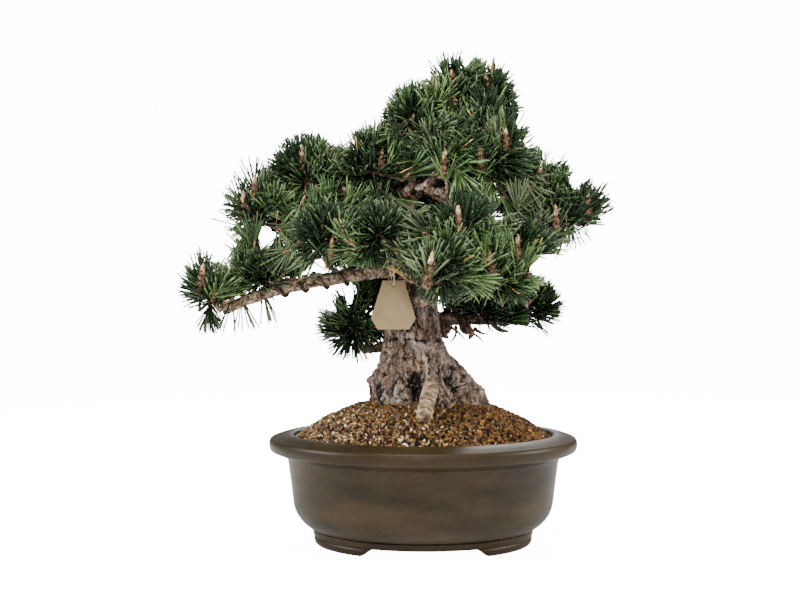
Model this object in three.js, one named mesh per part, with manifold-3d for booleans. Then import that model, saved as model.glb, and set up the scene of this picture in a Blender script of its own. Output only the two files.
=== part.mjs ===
// Japanese black pine of the short-needled kind, grown as a bonsai in an oval stoneware pot.
// Millimetres, Z up, front towards -Y. Built round the middle of the pot on the ground, then
// moved so that the middle of the whole part's underside is the origin.
import * as THREE from 'three';
import { mergeVertices } from 'three/addons/utils/BufferGeometryUtils.js';
import Module from 'manifold-3d';

const wasm = await Module();
wasm.setup();

// Pot: oval, each level is an ellipse whose half depth is the half length less POT_NARROW
const POT_NARROW = 36;
const POT_SIDES = 32;
const POT_OUTSIDE = [
  [109, 8], [110, 14.3], [108.6, 15.1], [112, 16], [119.6, 22], [127, 32.6], [130, 46],
  [134, 80], [136, 86], [151.4, 93.4], [153, 99.4], [150.6, 104.7], [142, 107.8], [133, 109],
];
const POT_INSIDE = [[128.6, 107.4], [127.4, 102], [122, 48], [113, 28], [98, 18]];
const FOOT_OUTSIDE = [[107.6, 8.4], [108.8, 5.4], [106.4, 0]];
const FOOT_WIDTH = 13;
const FOOT_GAP = [[-62, -1], [-59, 2], [-52, 4], [-48.5, 6.8], [-46.5, 8.4]];
const DRAIN_RADIUS = 8;
const DRAIN_PLACE = 44;

// Soil: a mound that meets the rim's inside
const SOIL_EDGE = 104.6;
const SOIL_RISE = 39;
const SOIL_POWER = 2.6;
const SOIL_WAVE = 1.3;
const GAP = 0.45;
const FINENESS = 0.04;

// Trunk: x, y, z, half width, half depth up the middle line
const TRUNK = [
  [5, 2, 131, 58.5, 43.5], [5, 2, 140, 56, 42], [1, 2, 152, 53, 39], [-2, 2, 163, 48, 36],
  [-3.5, 2, 176, 40, 32], [-8, 2, 191, 32.5, 28], [-10, 2, 206, 28.5, 25], [-11, 2, 226, 26, 23],
  [-12, 2, 245, 23, 21], [-14, 2, 262, 20, 18.5], [-18, 2, 280, 17.5, 16.5], [-19, 2, 300, 15, 14.5],
  [-19, 3, 325, 12.5, 12], [-16, 3, 341, 10.5, 10.5], [-7, 4, 353, 9, 9], [6, 4, 361, 8, 8],
  [17, 4, 371, 7.2, 7.2], [24, 4, 386, 6.4, 6.4], [28, 4, 405, 5.6, 5.6], [31, 4, 424, 4.6, 4.6], [32, 4, 438, 3.6, 3.6],
];
const TRUNK_SIDES = 26;
const TRUNK_STEPS = 36;
// Ribs of the flare and burls: angle round the trunk, half width in radians, middle level, half height, height
const RIBS = [
  [5.08, 0.30, 184, 30, 4.5], [5.75, 0.28, 158, 34, 4.5], [3.38, 0.24, 163, 12, 6], [4.13, 0.30, 160, 40, 3.5],
  [4.57, 0.20, 153, 20, -7], [5.42, 0.22, 150, 26, -4], [3.72, 0.24, 150, 26, -3.5], [0.15, 0.34, 156, 32, 4.5],
  [0.85, 0.36, 158, 40, 4.5], [1.55, 0.34, 154, 34, 5], [2.25, 0.34, 160, 42, 4.5], [2.85, 0.30, 152, 28, 4],
  [0.5, 0.24, 150, 28, -3], [1.9, 0.24, 150, 28, -3], [4.9, 0.5, 236, 14, 2.5], [3.5, 0.5, 226, 16, 3],
  [1.2, 0.6, 232, 18, 3], [5.9, 0.5, 250, 16, 2.5],
];
const FLARE_TOP = 205;
const LEVEL_TOP = 290;
const FRONT_ROOT = [[14, -8, 188, 6], [12, -20, 174, 7.4], [8, -35, 161, 8.1], [3, -54, 146, 8.6], [-1, -69, 130, 8.7]];

// Boughs: x, y, z, radius from inside the trunk, or inside the bough they leave, to the tip
const BOUGHS = {
  left_low: [[-14, 2, 272, 8.5], [-45, -6, 270, 7.8], [-77, -12, 264, 7], [-122, -18, 256, 6.8], [-165, -21, 244, 6.2], [-196, -23, 230, 4.8]],
  left_upper: [[-19, 3, 328, 7], [-45, 0, 341, 6], [-78, -2, 341, 5.2], [-108, -3, 336, 4.6], [-138, -4, 328, 3.6]],
  left_front: [[-16, -4, 292, 6.5], [-36, -27, 298, 5.5], [-60, -42, 296, 4.6], [-80, -50, 292, 4]],
  left_back: [[-14, 14, 205, 7], [-42, 28, 193, 5.5], [-62, 40, 189, 4.5]],
  top_left: [[8, 2, 362, 6], [0, -8, 384, 4.8], [-8, -13, 400, 4]],
  upper_right: [[26, 2, 398, 5], [44, -12, 388, 4.4], [56, -20, 382, 3.8]],
  right_mid: [[-6, -2, 278, 7.5], [20, -14, 283, 6.8], [52, -20, 288, 6], [85, -20, 300, 5.4], [112, -14, 312, 4.6]],
  right_shoulder: [[84, -20, 299, 5], [88, -6, 318, 4.6], [100, 4, 336, 4]],
  right_low: [[0, 8, 222, 8], [28, 18, 222, 7], [60, 28, 221, 6], [88, 36, 219, 5]],
  right_front: [[-12, -8, 300, 6], [8, -30, 303, 5], [20, -46, 305, 4.2]],
  right_front_low: [[0, -10, 252, 6], [26, -32, 250, 5], [48, -44, 252, 4.2]],
  front: [[-6, -10, 238, 7], [4, -42, 244, 5.6], [9, -62, 250, 4.6]],
  back: [[-16, 10, 288, 7], [-10, 40, 288, 6], [0, 62, 287, 5]],
  back_right_low: [[-6, 8, 262, 6], [30, 38, 268, 5], [55, 60, 274, 4.4]],
  back_left: [[-20, 8, 312, 6.5], [-48, 30, 322, 5.4], [-74, 44, 326, 4.4]],
  back_right: [[0, 8, 355, 6], [32, 34, 342, 5.2], [72, 46, 338, 4.4], [96, 50, 340, 3.8]],
};
const BOUGH_SIDES = 6;

// Foliage masses: the limb each grows on and how far along it, then the middle and half sizes of its space
const MASSES = {
  left_tip: ['left_low', 1, [-207, -25, 246], [30, 31, 41]],
  left_low: ['left_low', 0.74, [-158, -20, 264], [42, 34, 32]],
  left_upper_tip: ['left_upper', 1, [-164, -5, 328], [37, 34, 33]],
  left_upper: ['left_upper', 0.68, [-115, -2, 363], [42, 42, 43]],
  left_front: ['left_front', 1, [-93, -55, 300], [34, 32, 32]],
  centre_front: ['left_front', 0.6, [-42, -70, 301], [31, 30, 34]],
  upper_left: ['trunk', 0.66, [-56, -28, 365], [39, 34, 43]],
  top_left: ['top_left', 1, [-5, -15, 414], [37, 36, 42]],
  apex: ['trunk', 1, [30, 0, 446], [34, 34, 40]],
  apex_right: ['trunk', 0.91, [64, 3, 439], [31, 34, 44]],
  upper_front: ['trunk', 0.82, [21, -43, 386], [26, 24, 27]],
  upper_right: ['upper_right', 1, [66, -25, 386], [43, 38, 44]],
  right_shoulder: ['right_shoulder', 1, [118, 8, 358], [35, 34, 36]],
  right_far: ['right_mid', 1, [148, -8, 324], [44, 36, 33]],
  right_mid: ['right_mid', 0.74, [90, -38, 288], [38, 34, 32]],
  right_front: ['right_front', 1, [32, -62, 311], [39, 34, 32]],
  right_front_low: ['right_front_low', 1, [70, -54, 264], [40, 32, 30]],
  front: ['front', 1, [14, -84, 267], [33, 32, 32]],
  right_low: ['right_low', 0.62, [64, 34, 234], [36, 32, 30]],
  right_low_tip: ['right_low', 1, [114, 38, 235], [34, 32, 33]],
  left_back_low: ['left_back', 1, [-73, 46, 215], [34, 34, 35]],
  left_back: ['trunk', 0.36, [-47, 44, 245], [27, 30, 29]],
  back_left: ['back_left', 1, [-94, 54, 332], [38, 34, 36]],
  back_left_low: ['back', 0.7, [-56, 80, 290], [33, 31, 28]],
  back_low: ['back', 1, [6, 88, 284], [38, 32, 34]],
  back_right_low: ['back_right_low', 1, [78, 76, 280], [36, 32, 29]],
  back_mid: ['trunk', 0.64, [-26, 64, 354], [38, 35, 41]],
  back_right: ['back_right', 1, [122, 52, 344], [31, 30, 33]],
  back_centre: ['back_right', 0.45, [42, 70, 338], [29, 30, 33]],
  back_top: ['trunk', 0.88, [38, 46, 408], [34, 33, 37]],
};
const TUFT_AREA = 172;
const TUFT_SPREAD = 0.52;
const TUFT_LIFT = 0.3;
const TUFT_LOWEST = 1.85;
const NEEDLE_LENGTH = 31;
const SHORTEST = 10;
const NEEDLE_ANGLES = [0.46, 1.14];
const CORE_RADIUS = 5;
const TWIG_RADIUS = 1.3;
const CELL_MARGIN = 0.05;
const TURN = Math.PI * (3 - Math.sqrt(5));

// Wire coils: the bough, start and end along it, number of turns, wire radius
const WIRES = {
  wire_left_low: ['left_low', 0.36, 0.72, 4, 1.5],
  wire_left_upper: ['left_upper', 0.24, 0.42, 2.5, 0.8],
};

// Tag: half widths at its top, widest and bottom levels, and the levels themselves
const TAG_PLACE = [-29.4, -28];
const TAG_SHAPE = [[10.4, 259.5], [21.8, 222.7], [15.2, 212]];
const TAG_THICKNESS = 0.8;
const TAG_HOLE = [255.4, 2];
const TAG_CLEAR = [[-58, -4], [-64, -24], [204, 264]];
const STRING_RADIUS = 0.5;

const FINISHES = {
  clay: ['#58503f', 0.62],
  soil: ['#7a5433', 0.95],
  bark: ['#75685a', 0.95],
  root: ['#9a8468', 0.85],
  limb: ['#66543f', 0.92],
  needles: ['#2f5130', 0.6],
  wire: ['#2c2119', 0.55, 0.5],
  paper: ['#bfa57f', 0.9],
  string: ['#b9a585', 0.9],
};

const group = new THREE.Group();
group.name = 'black_pine_bonsai';

function chance(a, b) {
  const s = Math.sin(a * 12.9898 + b * 78.233) * 43758.5453;
  return s - Math.floor(s);
}

function vec(p) {
  return new THREE.Vector3(p[0], p[1], p[2]);
}

// Closed solid from a list of points and triangles, turned outward
function solidFrom(points, faces) {
  let volume = 0;
  for (const [a, b, c] of faces) {
    volume += points[a].dot(new THREE.Vector3().crossVectors(points[b], points[c]));
  }
  const order = volume < 0 ? faces.map(([a, b, c]) => [a, c, b]) : faces;
  const vertProperties = new Float32Array(points.flatMap((p) => [p.x, p.y, p.z]));
  const triVerts = new Uint32Array(order.flat());
  return new wasm.Manifold(new wasm.Mesh({ numProp: 3, vertProperties, triVerts }));
}

// Skin over rings of equal point counts, closed by a fan at each end or joined end to end
function skin(rings, joined = false) {
  const sides = rings[0].length;
  const points = rings.flat();
  const faces = [];
  const spans = joined ? rings.length : rings.length - 1;
  for (let i = 0; i < spans; i += 1) {
    const next = (i + 1) % rings.length;
    for (let k = 0; k < sides; k += 1) {
      const l = (k + 1) % sides;
      faces.push([i * sides + k, i * sides + l, next * sides + l]);
      faces.push([i * sides + k, next * sides + l, next * sides + k]);
    }
  }
  if (!joined) {
    for (const [row, flip] of [[0, true], [rings.length - 1, false]]) {
      const middle = new THREE.Vector3();
      rings[row].forEach((p) => middle.addScaledVector(p, 1 / sides));
      points.push(middle);
      const m = points.length - 1;
      for (let k = 0; k < sides; k += 1) {
        const a = row * sides + k;
        const b = row * sides + ((k + 1) % sides);
        faces.push(flip ? [m, b, a] : [m, a, b]);
      }
    }
  }
  return solidFrom(points, faces);
}

function solidOf(geometry) {
  geometry.deleteAttribute('normal');
  geometry.deleteAttribute('uv');
  const merged = mergeVertices(geometry, 1e-4);
  const vertProperties = new Float32Array(merged.attributes.position.array);
  const triVerts = new Uint32Array(merged.index.array);
  return new wasm.Manifold(new wasm.Mesh({ numProp: 3, vertProperties, triVerts }));
}

// The largest body: sealed hollows are filled and loose scraps dropped
function largest(solid) {
  const bodies = solid.decompose();
  bodies.sort((a, b) => b.volume() - a.volume());
  return bodies[0];
}

function place(name, solid, finish) {
  const data = largest(solid.asOriginal().simplify(FINENESS)).getMesh();
  const geometry = new THREE.BufferGeometry();
  geometry.setAttribute('position', new THREE.BufferAttribute(new Float32Array(data.vertProperties), 3));
  geometry.setIndex(new THREE.BufferAttribute(new Uint32Array(data.triVerts), 1));
  geometry.computeVertexNormals();
  const [color, roughness, metalness = 0] = FINISHES[finish];
  const material = new THREE.MeshStandardMaterial({ color, roughness, metalness, flatShading: true });
  material.name = finish;
  const mesh = new THREE.Mesh(geometry, material);
  mesh.name = name;
  group.add(mesh);
}

function oval(halfLength, z) {
  const ring = [];
  for (let k = 0; k < POT_SIDES; k += 1) {
    const t = (2 * Math.PI * k) / POT_SIDES;
    ring.push(new THREE.Vector3(halfLength * Math.cos(t), (halfLength - POT_NARROW) * Math.sin(t), z));
  }
  return ring;
}

function prism(outline, from, to) {
  const shape = new THREE.Shape(outline.map(([x, z]) => new THREE.Vector2(x, z)));
  const geometry = new THREE.ExtrudeGeometry(shape, { depth: to - from, bevelEnabled: false });
  geometry.rotateX(Math.PI / 2);
  geometry.translate(0, to, 0);
  return solidOf(geometry);
}

function pot() {
  let solid = skin([...POT_OUTSIDE, ...POT_INSIDE].map(([a, z]) => oval(a, z)));
  const footInside = [[106.4 - FOOT_WIDTH, 0], [106.4 - FOOT_WIDTH, 8.4]];
  const footRings = [...FOOT_OUTSIDE, ...footInside].map(([a, z]) => oval(a, z));
  const right = FOOT_GAP.map(([x, z]) => [-x, z]).reverse();
  const cut = prism([...FOOT_GAP, ...right], -140, 140);
  solid = solid.add(skin(footRings, true).subtract(cut));
  for (const side of [-1, 1]) {
    const drain = new THREE.CylinderGeometry(DRAIN_RADIUS, DRAIN_RADIUS, 30, 14);
    drain.rotateX(Math.PI / 2);
    drain.translate(side * DRAIN_PLACE, 0, 14);
    solid = solid.subtract(solidOf(drain));
  }
  return solid;
}

// Height of the mound at a share of the way out to the rim
function soilHeight(share) {
  return SOIL_EDGE + SOIL_RISE * (1 - share ** SOIL_POWER);
}

// A point of the mound, which is gently uneven away from the rim
function soilPoint(x, y, share) {
  const wave = SOIL_WAVE * (1 - share ** 4) * Math.sin(0.19 * x + 1.1) * Math.cos(0.17 * y - 0.6);
  return new THREE.Vector3(x, y, soilHeight(share) + wave);
}

function soil(cutters) {
  const side = [POT_INSIDE[4], POT_INSIDE[3], POT_INSIDE[1]].map(([a, z]) => oval(a - 0.4, z + 0.35));
  const edge = POT_INSIDE[1][0] - 0.4;
  const top = [1, 0.87, 0.72, 0.55, 0.36].map((share) => {
    return oval(edge, 0).map((p) => soilPoint(p.x * share, p.y * share, share));
  });
  let solid = skin([...side, ...top]);
  for (const cutter of cutters) solid = solid.subtract(cutter);
  return largest(solid);
}

// Middle line through the given stations, evenly stepped; each step has a place and its sizes
function stations(rows, steps) {
  const curve = new THREE.CatmullRomCurve3(rows.map(vec), false, 'centripetal');
  const list = [];
  for (let i = 0; i <= steps; i += 1) {
    const u = (i / steps) * (rows.length - 1);
    const a = Math.min(Math.floor(u), rows.length - 2);
    const f = u - a;
    const sizes = rows[a].slice(3).map((v, k) => v + (rows[a + 1][3 + k] - v) * f);
    list.push({ p: curve.getPoint(i / steps), t: curve.getTangent(i / steps), sizes });
  }
  return list;
}

// Height of the ribs at an angle and level: a bell round the trunk times one up and down it
function ribHeight(turn, z) {
  let total = 0;
  for (const [angle, wide, middle, tall, high] of RIBS) {
    const away = ((turn - angle + 5 * Math.PI) % (2 * Math.PI)) - Math.PI;
    const across = Math.max(0, 1 - (away / wide) ** 2 / 2) ** 2;
    total += high * across * Math.max(0, 1 - ((z - middle) / tall) ** 2);
  }
  return total;
}

// Trunk rings lie level in the thick lower part and turn square to the middle line above LEVEL_TOP
function trunk(grow) {
  const list = stations(TRUNK, TRUNK_STEPS);
  const rings = list.map(({ p, t, sizes }) => {
    const turned = Math.max(0, Math.min(1, (p.z - LEVEL_TOP) / 40));
    t.lerp(new THREE.Vector3(0, 0, 1), 1 - turned).normalize();
    const across = new THREE.Vector3(0, 1, 0).cross(t).normalize();
    const deep = new THREE.Vector3().crossVectors(t, across);
    const flare = Math.max(0, Math.min(1, (FLARE_TOP - p.z) / 60));
    const ring = [];
    for (let k = 0; k < TRUNK_SIDES; k += 1) {
      const a = (2 * Math.PI * k) / TRUNK_SIDES;
      const lobe = 1 + 0.09 * flare * Math.cos(6 * a + 2.2) + 0.035 * Math.cos(5 * a + p.z * 0.05);
      const more = ribHeight(a, p.z) + grow;
      const x = (sizes[0] * lobe + more) * Math.cos(a);
      const y = (sizes[1] * lobe + more) * Math.sin(a);
      ring.push(p.clone().addScaledVector(across, x).addScaledVector(deep, y));
    }
    return ring;
  });
  if (grow > 0) rings[0].forEach((p) => { p.z -= grow; });
  return skin(rings);
}

// Rings square to a middle line, each carried on from the last without twist
function tubeRings(list, sides, grow = 0) {
  let normal = new THREE.Vector3(0.3, 0.5, 0.8);
  return list.map(({ p, t, sizes }, i) => {
    normal = normal.clone().addScaledVector(t, -normal.dot(t)).normalize();
    const other = new THREE.Vector3().crossVectors(t, normal);
    const radius = sizes[0] * (1 + 0.06 * Math.sin(i * 2.1)) + grow;
    const ring = [];
    for (let k = 0; k < sides; k += 1) {
      const a = (2 * Math.PI * k) / sides;
      ring.push(p.clone().addScaledVector(normal, radius * Math.cos(a)).addScaledVector(other, radius * Math.sin(a)));
    }
    return ring;
  });
}

function limbStations(rows) {
  return stations(rows, (rows.length - 1) * 2);
}

function limb(rows, sides, grow = 0) {
  return skin(tubeRings(limbStations(rows), sides, grow));
}

function wire([bough, from, to, turns, radius]) {
  const rows = BOUGHS[bough];
  const curve = new THREE.CatmullRomCurve3(rows.map(vec), false, 'centripetal');
  const steps = Math.round(turns * 9);
  const path = [];
  let normal = new THREE.Vector3(0.3, 0.5, 0.8);
  for (let i = 0; i <= steps; i += 1) {
    const u = from + ((to - from) * i) / steps;
    const t = curve.getTangent(u);
    normal = normal.clone().addScaledVector(t, -normal.dot(t)).normalize();
    const other = new THREE.Vector3().crossVectors(t, normal);
    const row = Math.min(Math.floor(u * (rows.length - 1)), rows.length - 2);
    const f = u * (rows.length - 1) - row;
    const thick = rows[row][3] + (rows[row + 1][3] - rows[row][3]) * f;
    const end = Math.min(i, steps - i) < 3 ? 1.5 : 0;
    const r = thick * 1.06 + radius + GAP + end;
    const a = (2 * Math.PI * turns * i) / steps;
    const p = curve.getPoint(u).addScaledVector(normal, r * Math.cos(a)).addScaledVector(other, r * Math.sin(a));
    path.push([p.x, p.y, p.z, radius]);
  }
  return skin(tubeRings(stations(path, steps), 4));
}

function tag() {
  const [x, y] = TAG_PLACE;
  const right = TAG_SHAPE.map(([w, z]) => new THREE.Vector2(x + w, z));
  const left = TAG_SHAPE.map(([w, z]) => new THREE.Vector2(x - w, z)).reverse();
  const shape = new THREE.Shape([...right, ...left]);
  const hole = new THREE.Path();
  hole.absarc(x, TAG_HOLE[0], TAG_HOLE[1], 0, 2 * Math.PI);
  shape.holes.push(hole);
  const geometry = new THREE.ExtrudeGeometry(shape, { depth: TAG_THICKNESS, bevelEnabled: false, curveSegments: 6 });
  geometry.rotateX(Math.PI / 2);
  geometry.translate(0, y + TAG_THICKNESS / 2, 0);
  return solidOf(geometry);
}

// Closed loop of string over the bough above the tag and through the tag's hole
function tagString() {
  const [x, y] = TAG_PLACE;
  const rows = BOUGHS.left_front;
  const curve = new THREE.CatmullRomCurve3(rows.map(vec), false, 'centripetal');
  const over = curve.getPoint(0.315);
  const reach = rows[1][3] * 1.06 + STRING_RADIUS + GAP;
  const side = new THREE.Vector3(0.5, -0.866, 0);
  const path = [];
  for (let i = 0; i <= 8; i += 1) {
    const a = (Math.PI * i) / 8;
    const p = over.clone().addScaledVector(side, reach * Math.cos(a));
    p.z += reach * Math.sin(a);
    path.push(p);
  }
  for (let i = 0; i <= 4; i += 1) {
    const a = Math.PI + (Math.PI * i) / 4;
    const p = new THREE.Vector3(x, y, TAG_HOLE[0] + 0.9).addScaledVector(side, 1.7 * Math.cos(a));
    p.z += 1.7 * Math.sin(a);
    path.push(p);
  }
  const loop = new THREE.CatmullRomCurve3(path, true, 'centripetal');
  const list = [];
  for (let i = 0; i < 20; i += 1) {
    list.push({ p: loop.getPoint(i / 20), t: loop.getTangent(i / 20) });
  }
  const flat = new THREE.Vector3(-side.y, side.x, 0);
  const rings = list.map(({ p, t }) => {
    const other = new THREE.Vector3().crossVectors(t, flat).normalize();
    return [0, 1, 2, 3].map((k) => {
      const a = (2 * Math.PI * k) / 4;
      const q = p.clone().addScaledVector(flat, STRING_RADIUS * Math.cos(a));
      return q.addScaledVector(other, STRING_RADIUS * Math.sin(a));
    });
  });
  return skin(rings, true);
}

// Share of the way from the middle of a mass's space to its edge
function depthIn(mass, p) {
  const [, , middle, half] = mass;
  return Math.hypot((p.x - middle[0]) / half[0], (p.y - middle[1]) / half[1], (p.z - middle[2]) / half[2]);
}

function segmentDistance(p, a, b) {
  const ab = new THREE.Vector3().subVectors(b, a);
  const share = Math.max(0, Math.min(1, new THREE.Vector3().subVectors(p, a).dot(ab) / ab.lengthSq()));
  return p.distanceTo(a.clone().addScaledVector(ab, share));
}

const trunkCurve = new THREE.CatmullRomCurve3(TRUNK.map(vec), false, 'centripetal');

function limbCurve(name) {
  return name === 'trunk' ? trunkCurve : new THREE.CatmullRomCurve3(BOUGHS[name].map(vec), false, 'centripetal');
}

// Stem of a mass: from its limb, a little beyond the tip or on the middle line, to its hub
function stemRows(name) {
  const [limbName, along, middle] = MASSES[name];
  const curve = limbCurve(limbName);
  const start = curve.getPoint(along);
  const tangent = curve.getTangent(along);
  if (along === 1) start.addScaledVector(tangent, GAP);
  const hub = vec(middle).lerp(start, 0.12);
  const bend = start.clone().lerp(hub, 0.5).addScaledVector(tangent, (along === 1 ? 0.12 : 0) * start.distanceTo(hub));
  const thick = along === 1 ? 3 : 2.8;
  return [[start.x, start.y, start.z, thick], [bend.x, bend.y, bend.z, 2.3], [hub.x, hub.y, hub.z, 1.6]];
}

const stems = Object.fromEntries(Object.keys(MASSES).map((name) => [name, stemRows(name)]));

// Everything hard that needles and twigs keep clear of, as short tapering lengths
function hardLengths() {
  const list = [];
  const addRows = (rows, owner, extra) => {
    const steps = stations(rows, (rows.length - 1) * 2);
    for (let i = 1; i < steps.length; i += 1) {
      const radius = Math.max(...steps[i - 1].sizes, ...steps[i].sizes) * 1.08 + extra;
      list.push({ a: steps[i - 1].p, b: steps[i].p, radius, owner });
    }
  };
  addRows(TRUNK, '', 0);
  addRows(FRONT_ROOT, '', 0);
  for (const [name, rows] of Object.entries(BOUGHS)) addRows(rows, '', name === 'left_low' ? 2.8 : 0.2);
  for (const [name, rows] of Object.entries(stems)) addRows(rows, name, 0.2);
  return list;
}

const hard = hardLengths();

function isFree(name, p, clear) {
  const own = depthIn(MASSES[name], p);
  if (own > 1.0001) return false;
  for (const [other, mass] of Object.entries(MASSES)) {
    if (other !== name && depthIn(mass, p) - own < CELL_MARGIN) return false;
  }
  const [cx, cy, cz] = TAG_CLEAR;
  if (p.x > cx[0] && p.x < cx[1] && p.y > cy[0] && p.y < cy[1] && p.z > cz[0] && p.z < cz[1]) return false;
  return hard.every(({ a, b, radius, owner }) => owner === name || segmentDistance(p, a, b) > radius + clear);
}

// Length at which a ray from inside leaves the mass's space
function reachOf(name, from, way) {
  let near = 0;
  let far = NEEDLE_LENGTH;
  const at = (s) => from.clone().addScaledVector(way, s);
  if (depthIn(MASSES[name], at(far)) <= 1) return far;
  for (let i = 0; i < 12; i += 1) {
    const s = (near + far) / 2;
    if (depthIn(MASSES[name], at(s)) <= 1) near = s;
    else far = s;
  }
  return near;
}

function sideWays(axis) {
  const first = Math.abs(axis.z) < 0.9 ? new THREE.Vector3(0, 0, 1) : new THREE.Vector3(1, 0, 0);
  const u = first.cross(axis).normalize();
  return [u, new THREE.Vector3().crossVectors(axis, u)];
}

// One spray: a three-sided twig, a five-sided bud core and up to ten needles raised on its faces
function spray(name, root, base, axis, seed) {
  const points = [];
  const faces = [];
  const [u, v] = sideWays(axis);
  const turn = chance(seed, 3) * 2 * Math.PI;
  const at = (height, radius, a) => base.clone().addScaledVector(axis, height)
    .addScaledVector(u, radius * Math.cos(a)).addScaledVector(v, radius * Math.sin(a));
  for (let j = 0; j < 3; j += 1) {
    const a = turn + (2 * Math.PI * j) / 3;
    points.push(root.clone().addScaledVector(u, TWIG_RADIUS * Math.cos(a)).addScaledVector(v, TWIG_RADIUS * Math.sin(a)));
  }
  for (let j = 0; j < 3; j += 1) points.push(at(0, TWIG_RADIUS, turn + (2 * Math.PI * j) / 3));
  for (let k = 0; k < 5; k += 1) points.push(at(4.2, CORE_RADIUS, turn + (2 * Math.PI * (k - 0.2)) / 5));
  points.push(at(10, 0, 0));
  for (let j = 0; j < 3; j += 1) {
    const l = (j + 1) % 3;
    faces.push([j, l, 3 + l], [j, 3 + l, 3 + j]);
  }
  faces.push([2, 1, 0], [3, 4, 8], [4, 5, 9], [5, 3, 6]);
  for (let k = 0; k < 5; k += 1) {
    const l = (k + 1) % 5;
    const under = 3 + Math.floor(((k + 0.5) * 3) / 5);
    for (const [row, face] of [[1, [under, 6 + l, 6 + k]], [0, [6 + k, 6 + l, 11]]]) {
      const middle = new THREE.Vector3();
      face.forEach((i) => middle.addScaledVector(points[i], 1 / 3));
      const a = turn + (2 * Math.PI * (k + 0.3)) / 5 + 0.35 * (chance(seed, 11 + k + 5 * row) - 0.5);
      const lean = NEEDLE_ANGLES[row] + 0.3 * (chance(seed, 31 + k + 5 * row) - 0.5);
      const way = axis.clone().multiplyScalar(Math.cos(lean))
        .addScaledVector(u, Math.sin(lean) * Math.cos(a)).addScaledVector(v, Math.sin(lean) * Math.sin(a));
      const full = reachOf(name, middle, way) * (0.9 + 0.1 * chance(seed, 51 + k + 5 * row));
      const tip = [1, 0.8, 0.6].map((share) => share * full).find((length) => {
        const probes = [0.35, 0.7, 1].map((s) => middle.clone().addScaledVector(way, s * length));
        return length > SHORTEST && probes.every((p, i) => isFree(name, p, 1.2 - 0.35 * i));
      });
      if (!tip) {
        faces.push(face);
      } else {
        points.push(middle.addScaledVector(way, tip));
        const last = points.length - 1;
        faces.push([face[0], face[1], last], [face[1], face[2], last], [face[2], face[0], last]);
      }
    }
  }
  return solidFrom(points, faces);
}

// Where the sprays of a mass sit: evenly dealt over its space, the lowest ones left out
function sprayPlaces(name) {
  const [, , middle, half] = MASSES[name];
  const mean = (half[0] + half[1] + half[2]) / 3;
  const count = Math.max(5, Math.round((mean * mean) / TUFT_AREA));
  const seed = Object.keys(MASSES).indexOf(name) + 1;
  const list = [];
  for (let k = 0; k < count; k += 1) {
    const up = 1 - (TUFT_LOWEST * (k + 0.5)) / count;
    const a = k * TURN + seed * 1.7;
    const flat = Math.sqrt(1 - up * up);
    const way = new THREE.Vector3(flat * Math.cos(a), flat * Math.sin(a), up);
    const out = TUFT_SPREAD * (k % 5 === 3 ? 0.5 : 1) * (0.9 + 0.2 * chance(seed, k));
    const base = new THREE.Vector3(half[0] * way.x, half[1] * way.y, half[2] * way.z).multiplyScalar(out);
    const axis = way.clone().add(new THREE.Vector3(0, 0, TUFT_LIFT)).normalize();
    list.push({ base: base.add(vec(middle)), axis, seed: seed * 100 + k });
  }
  return list;
}

function mass(name, cutters) {
  const rows = stems[name];
  const curve = new THREE.CatmullRomCurve3(rows.map(vec), false, 'centripetal');
  let solid = skin(tubeRings(stations(rows, 4), 5));
  for (const { base, axis, seed } of sprayPlaces(name)) {
    const root = curve.getPoint(0.7 + 0.27 * chance(seed, 1));
    const tipOfBud = base.clone().addScaledVector(axis, 10);
    const probes = [0.4, 0.6, 0.8, 1].map((s) => root.clone().lerp(base, s));
    probes.push(base.clone().lerp(tipOfBud, 0.42), tipOfBud);
    if (probes.every((p, i) => isFree(name, p, i === 4 ? CORE_RADIUS + 0.6 : TWIG_RADIUS + 0.8))) {
      solid = solid.add(spray(name, root, base, axis, seed));
    }
  }
  for (const cutter of cutters) solid = solid.subtract(cutter);
  return largest(solid);
}

const trunkGrown = trunk(GAP);
const rootGrown = limb(FRONT_ROOT, 10, GAP);
place('pot', pot(), 'clay');
place('soil', soil([trunkGrown, rootGrown]), 'soil');
place('trunk', trunk(0), 'bark');
place('front_root', largest(limb(FRONT_ROOT, 10).subtract(trunkGrown)), 'root');

const grown = { trunk: trunkGrown };
for (const [name, rows] of Object.entries(BOUGHS)) {
  let solid = limb(rows, BOUGH_SIDES).subtract(trunkGrown);
  if (name === 'right_shoulder') solid = solid.subtract(grown.right_mid);
  grown[name] = limb(rows, BOUGH_SIDES, GAP);
  place(`bough_${name}`, largest(solid), 'limb');
}
for (const [name, row] of Object.entries(WIRES)) place(name, wire(row), 'wire');
place('tag', tag(), 'paper');
place('tag_string', tagString(), 'string');
for (const name of Object.keys(MASSES)) {
  place(`foliage_${name}`, mass(name, [grown[MASSES[name][0]], trunkGrown]), 'needles');
}

const box = new THREE.Box3().setFromObject(group);
const shift = new THREE.Vector3(-(box.min.x + box.max.x) / 2, -(box.min.y + box.max.y) / 2, -box.min.z);
for (const child of group.children) child.geometry.translate(shift.x, shift.y, shift.z);

export default group;
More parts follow.
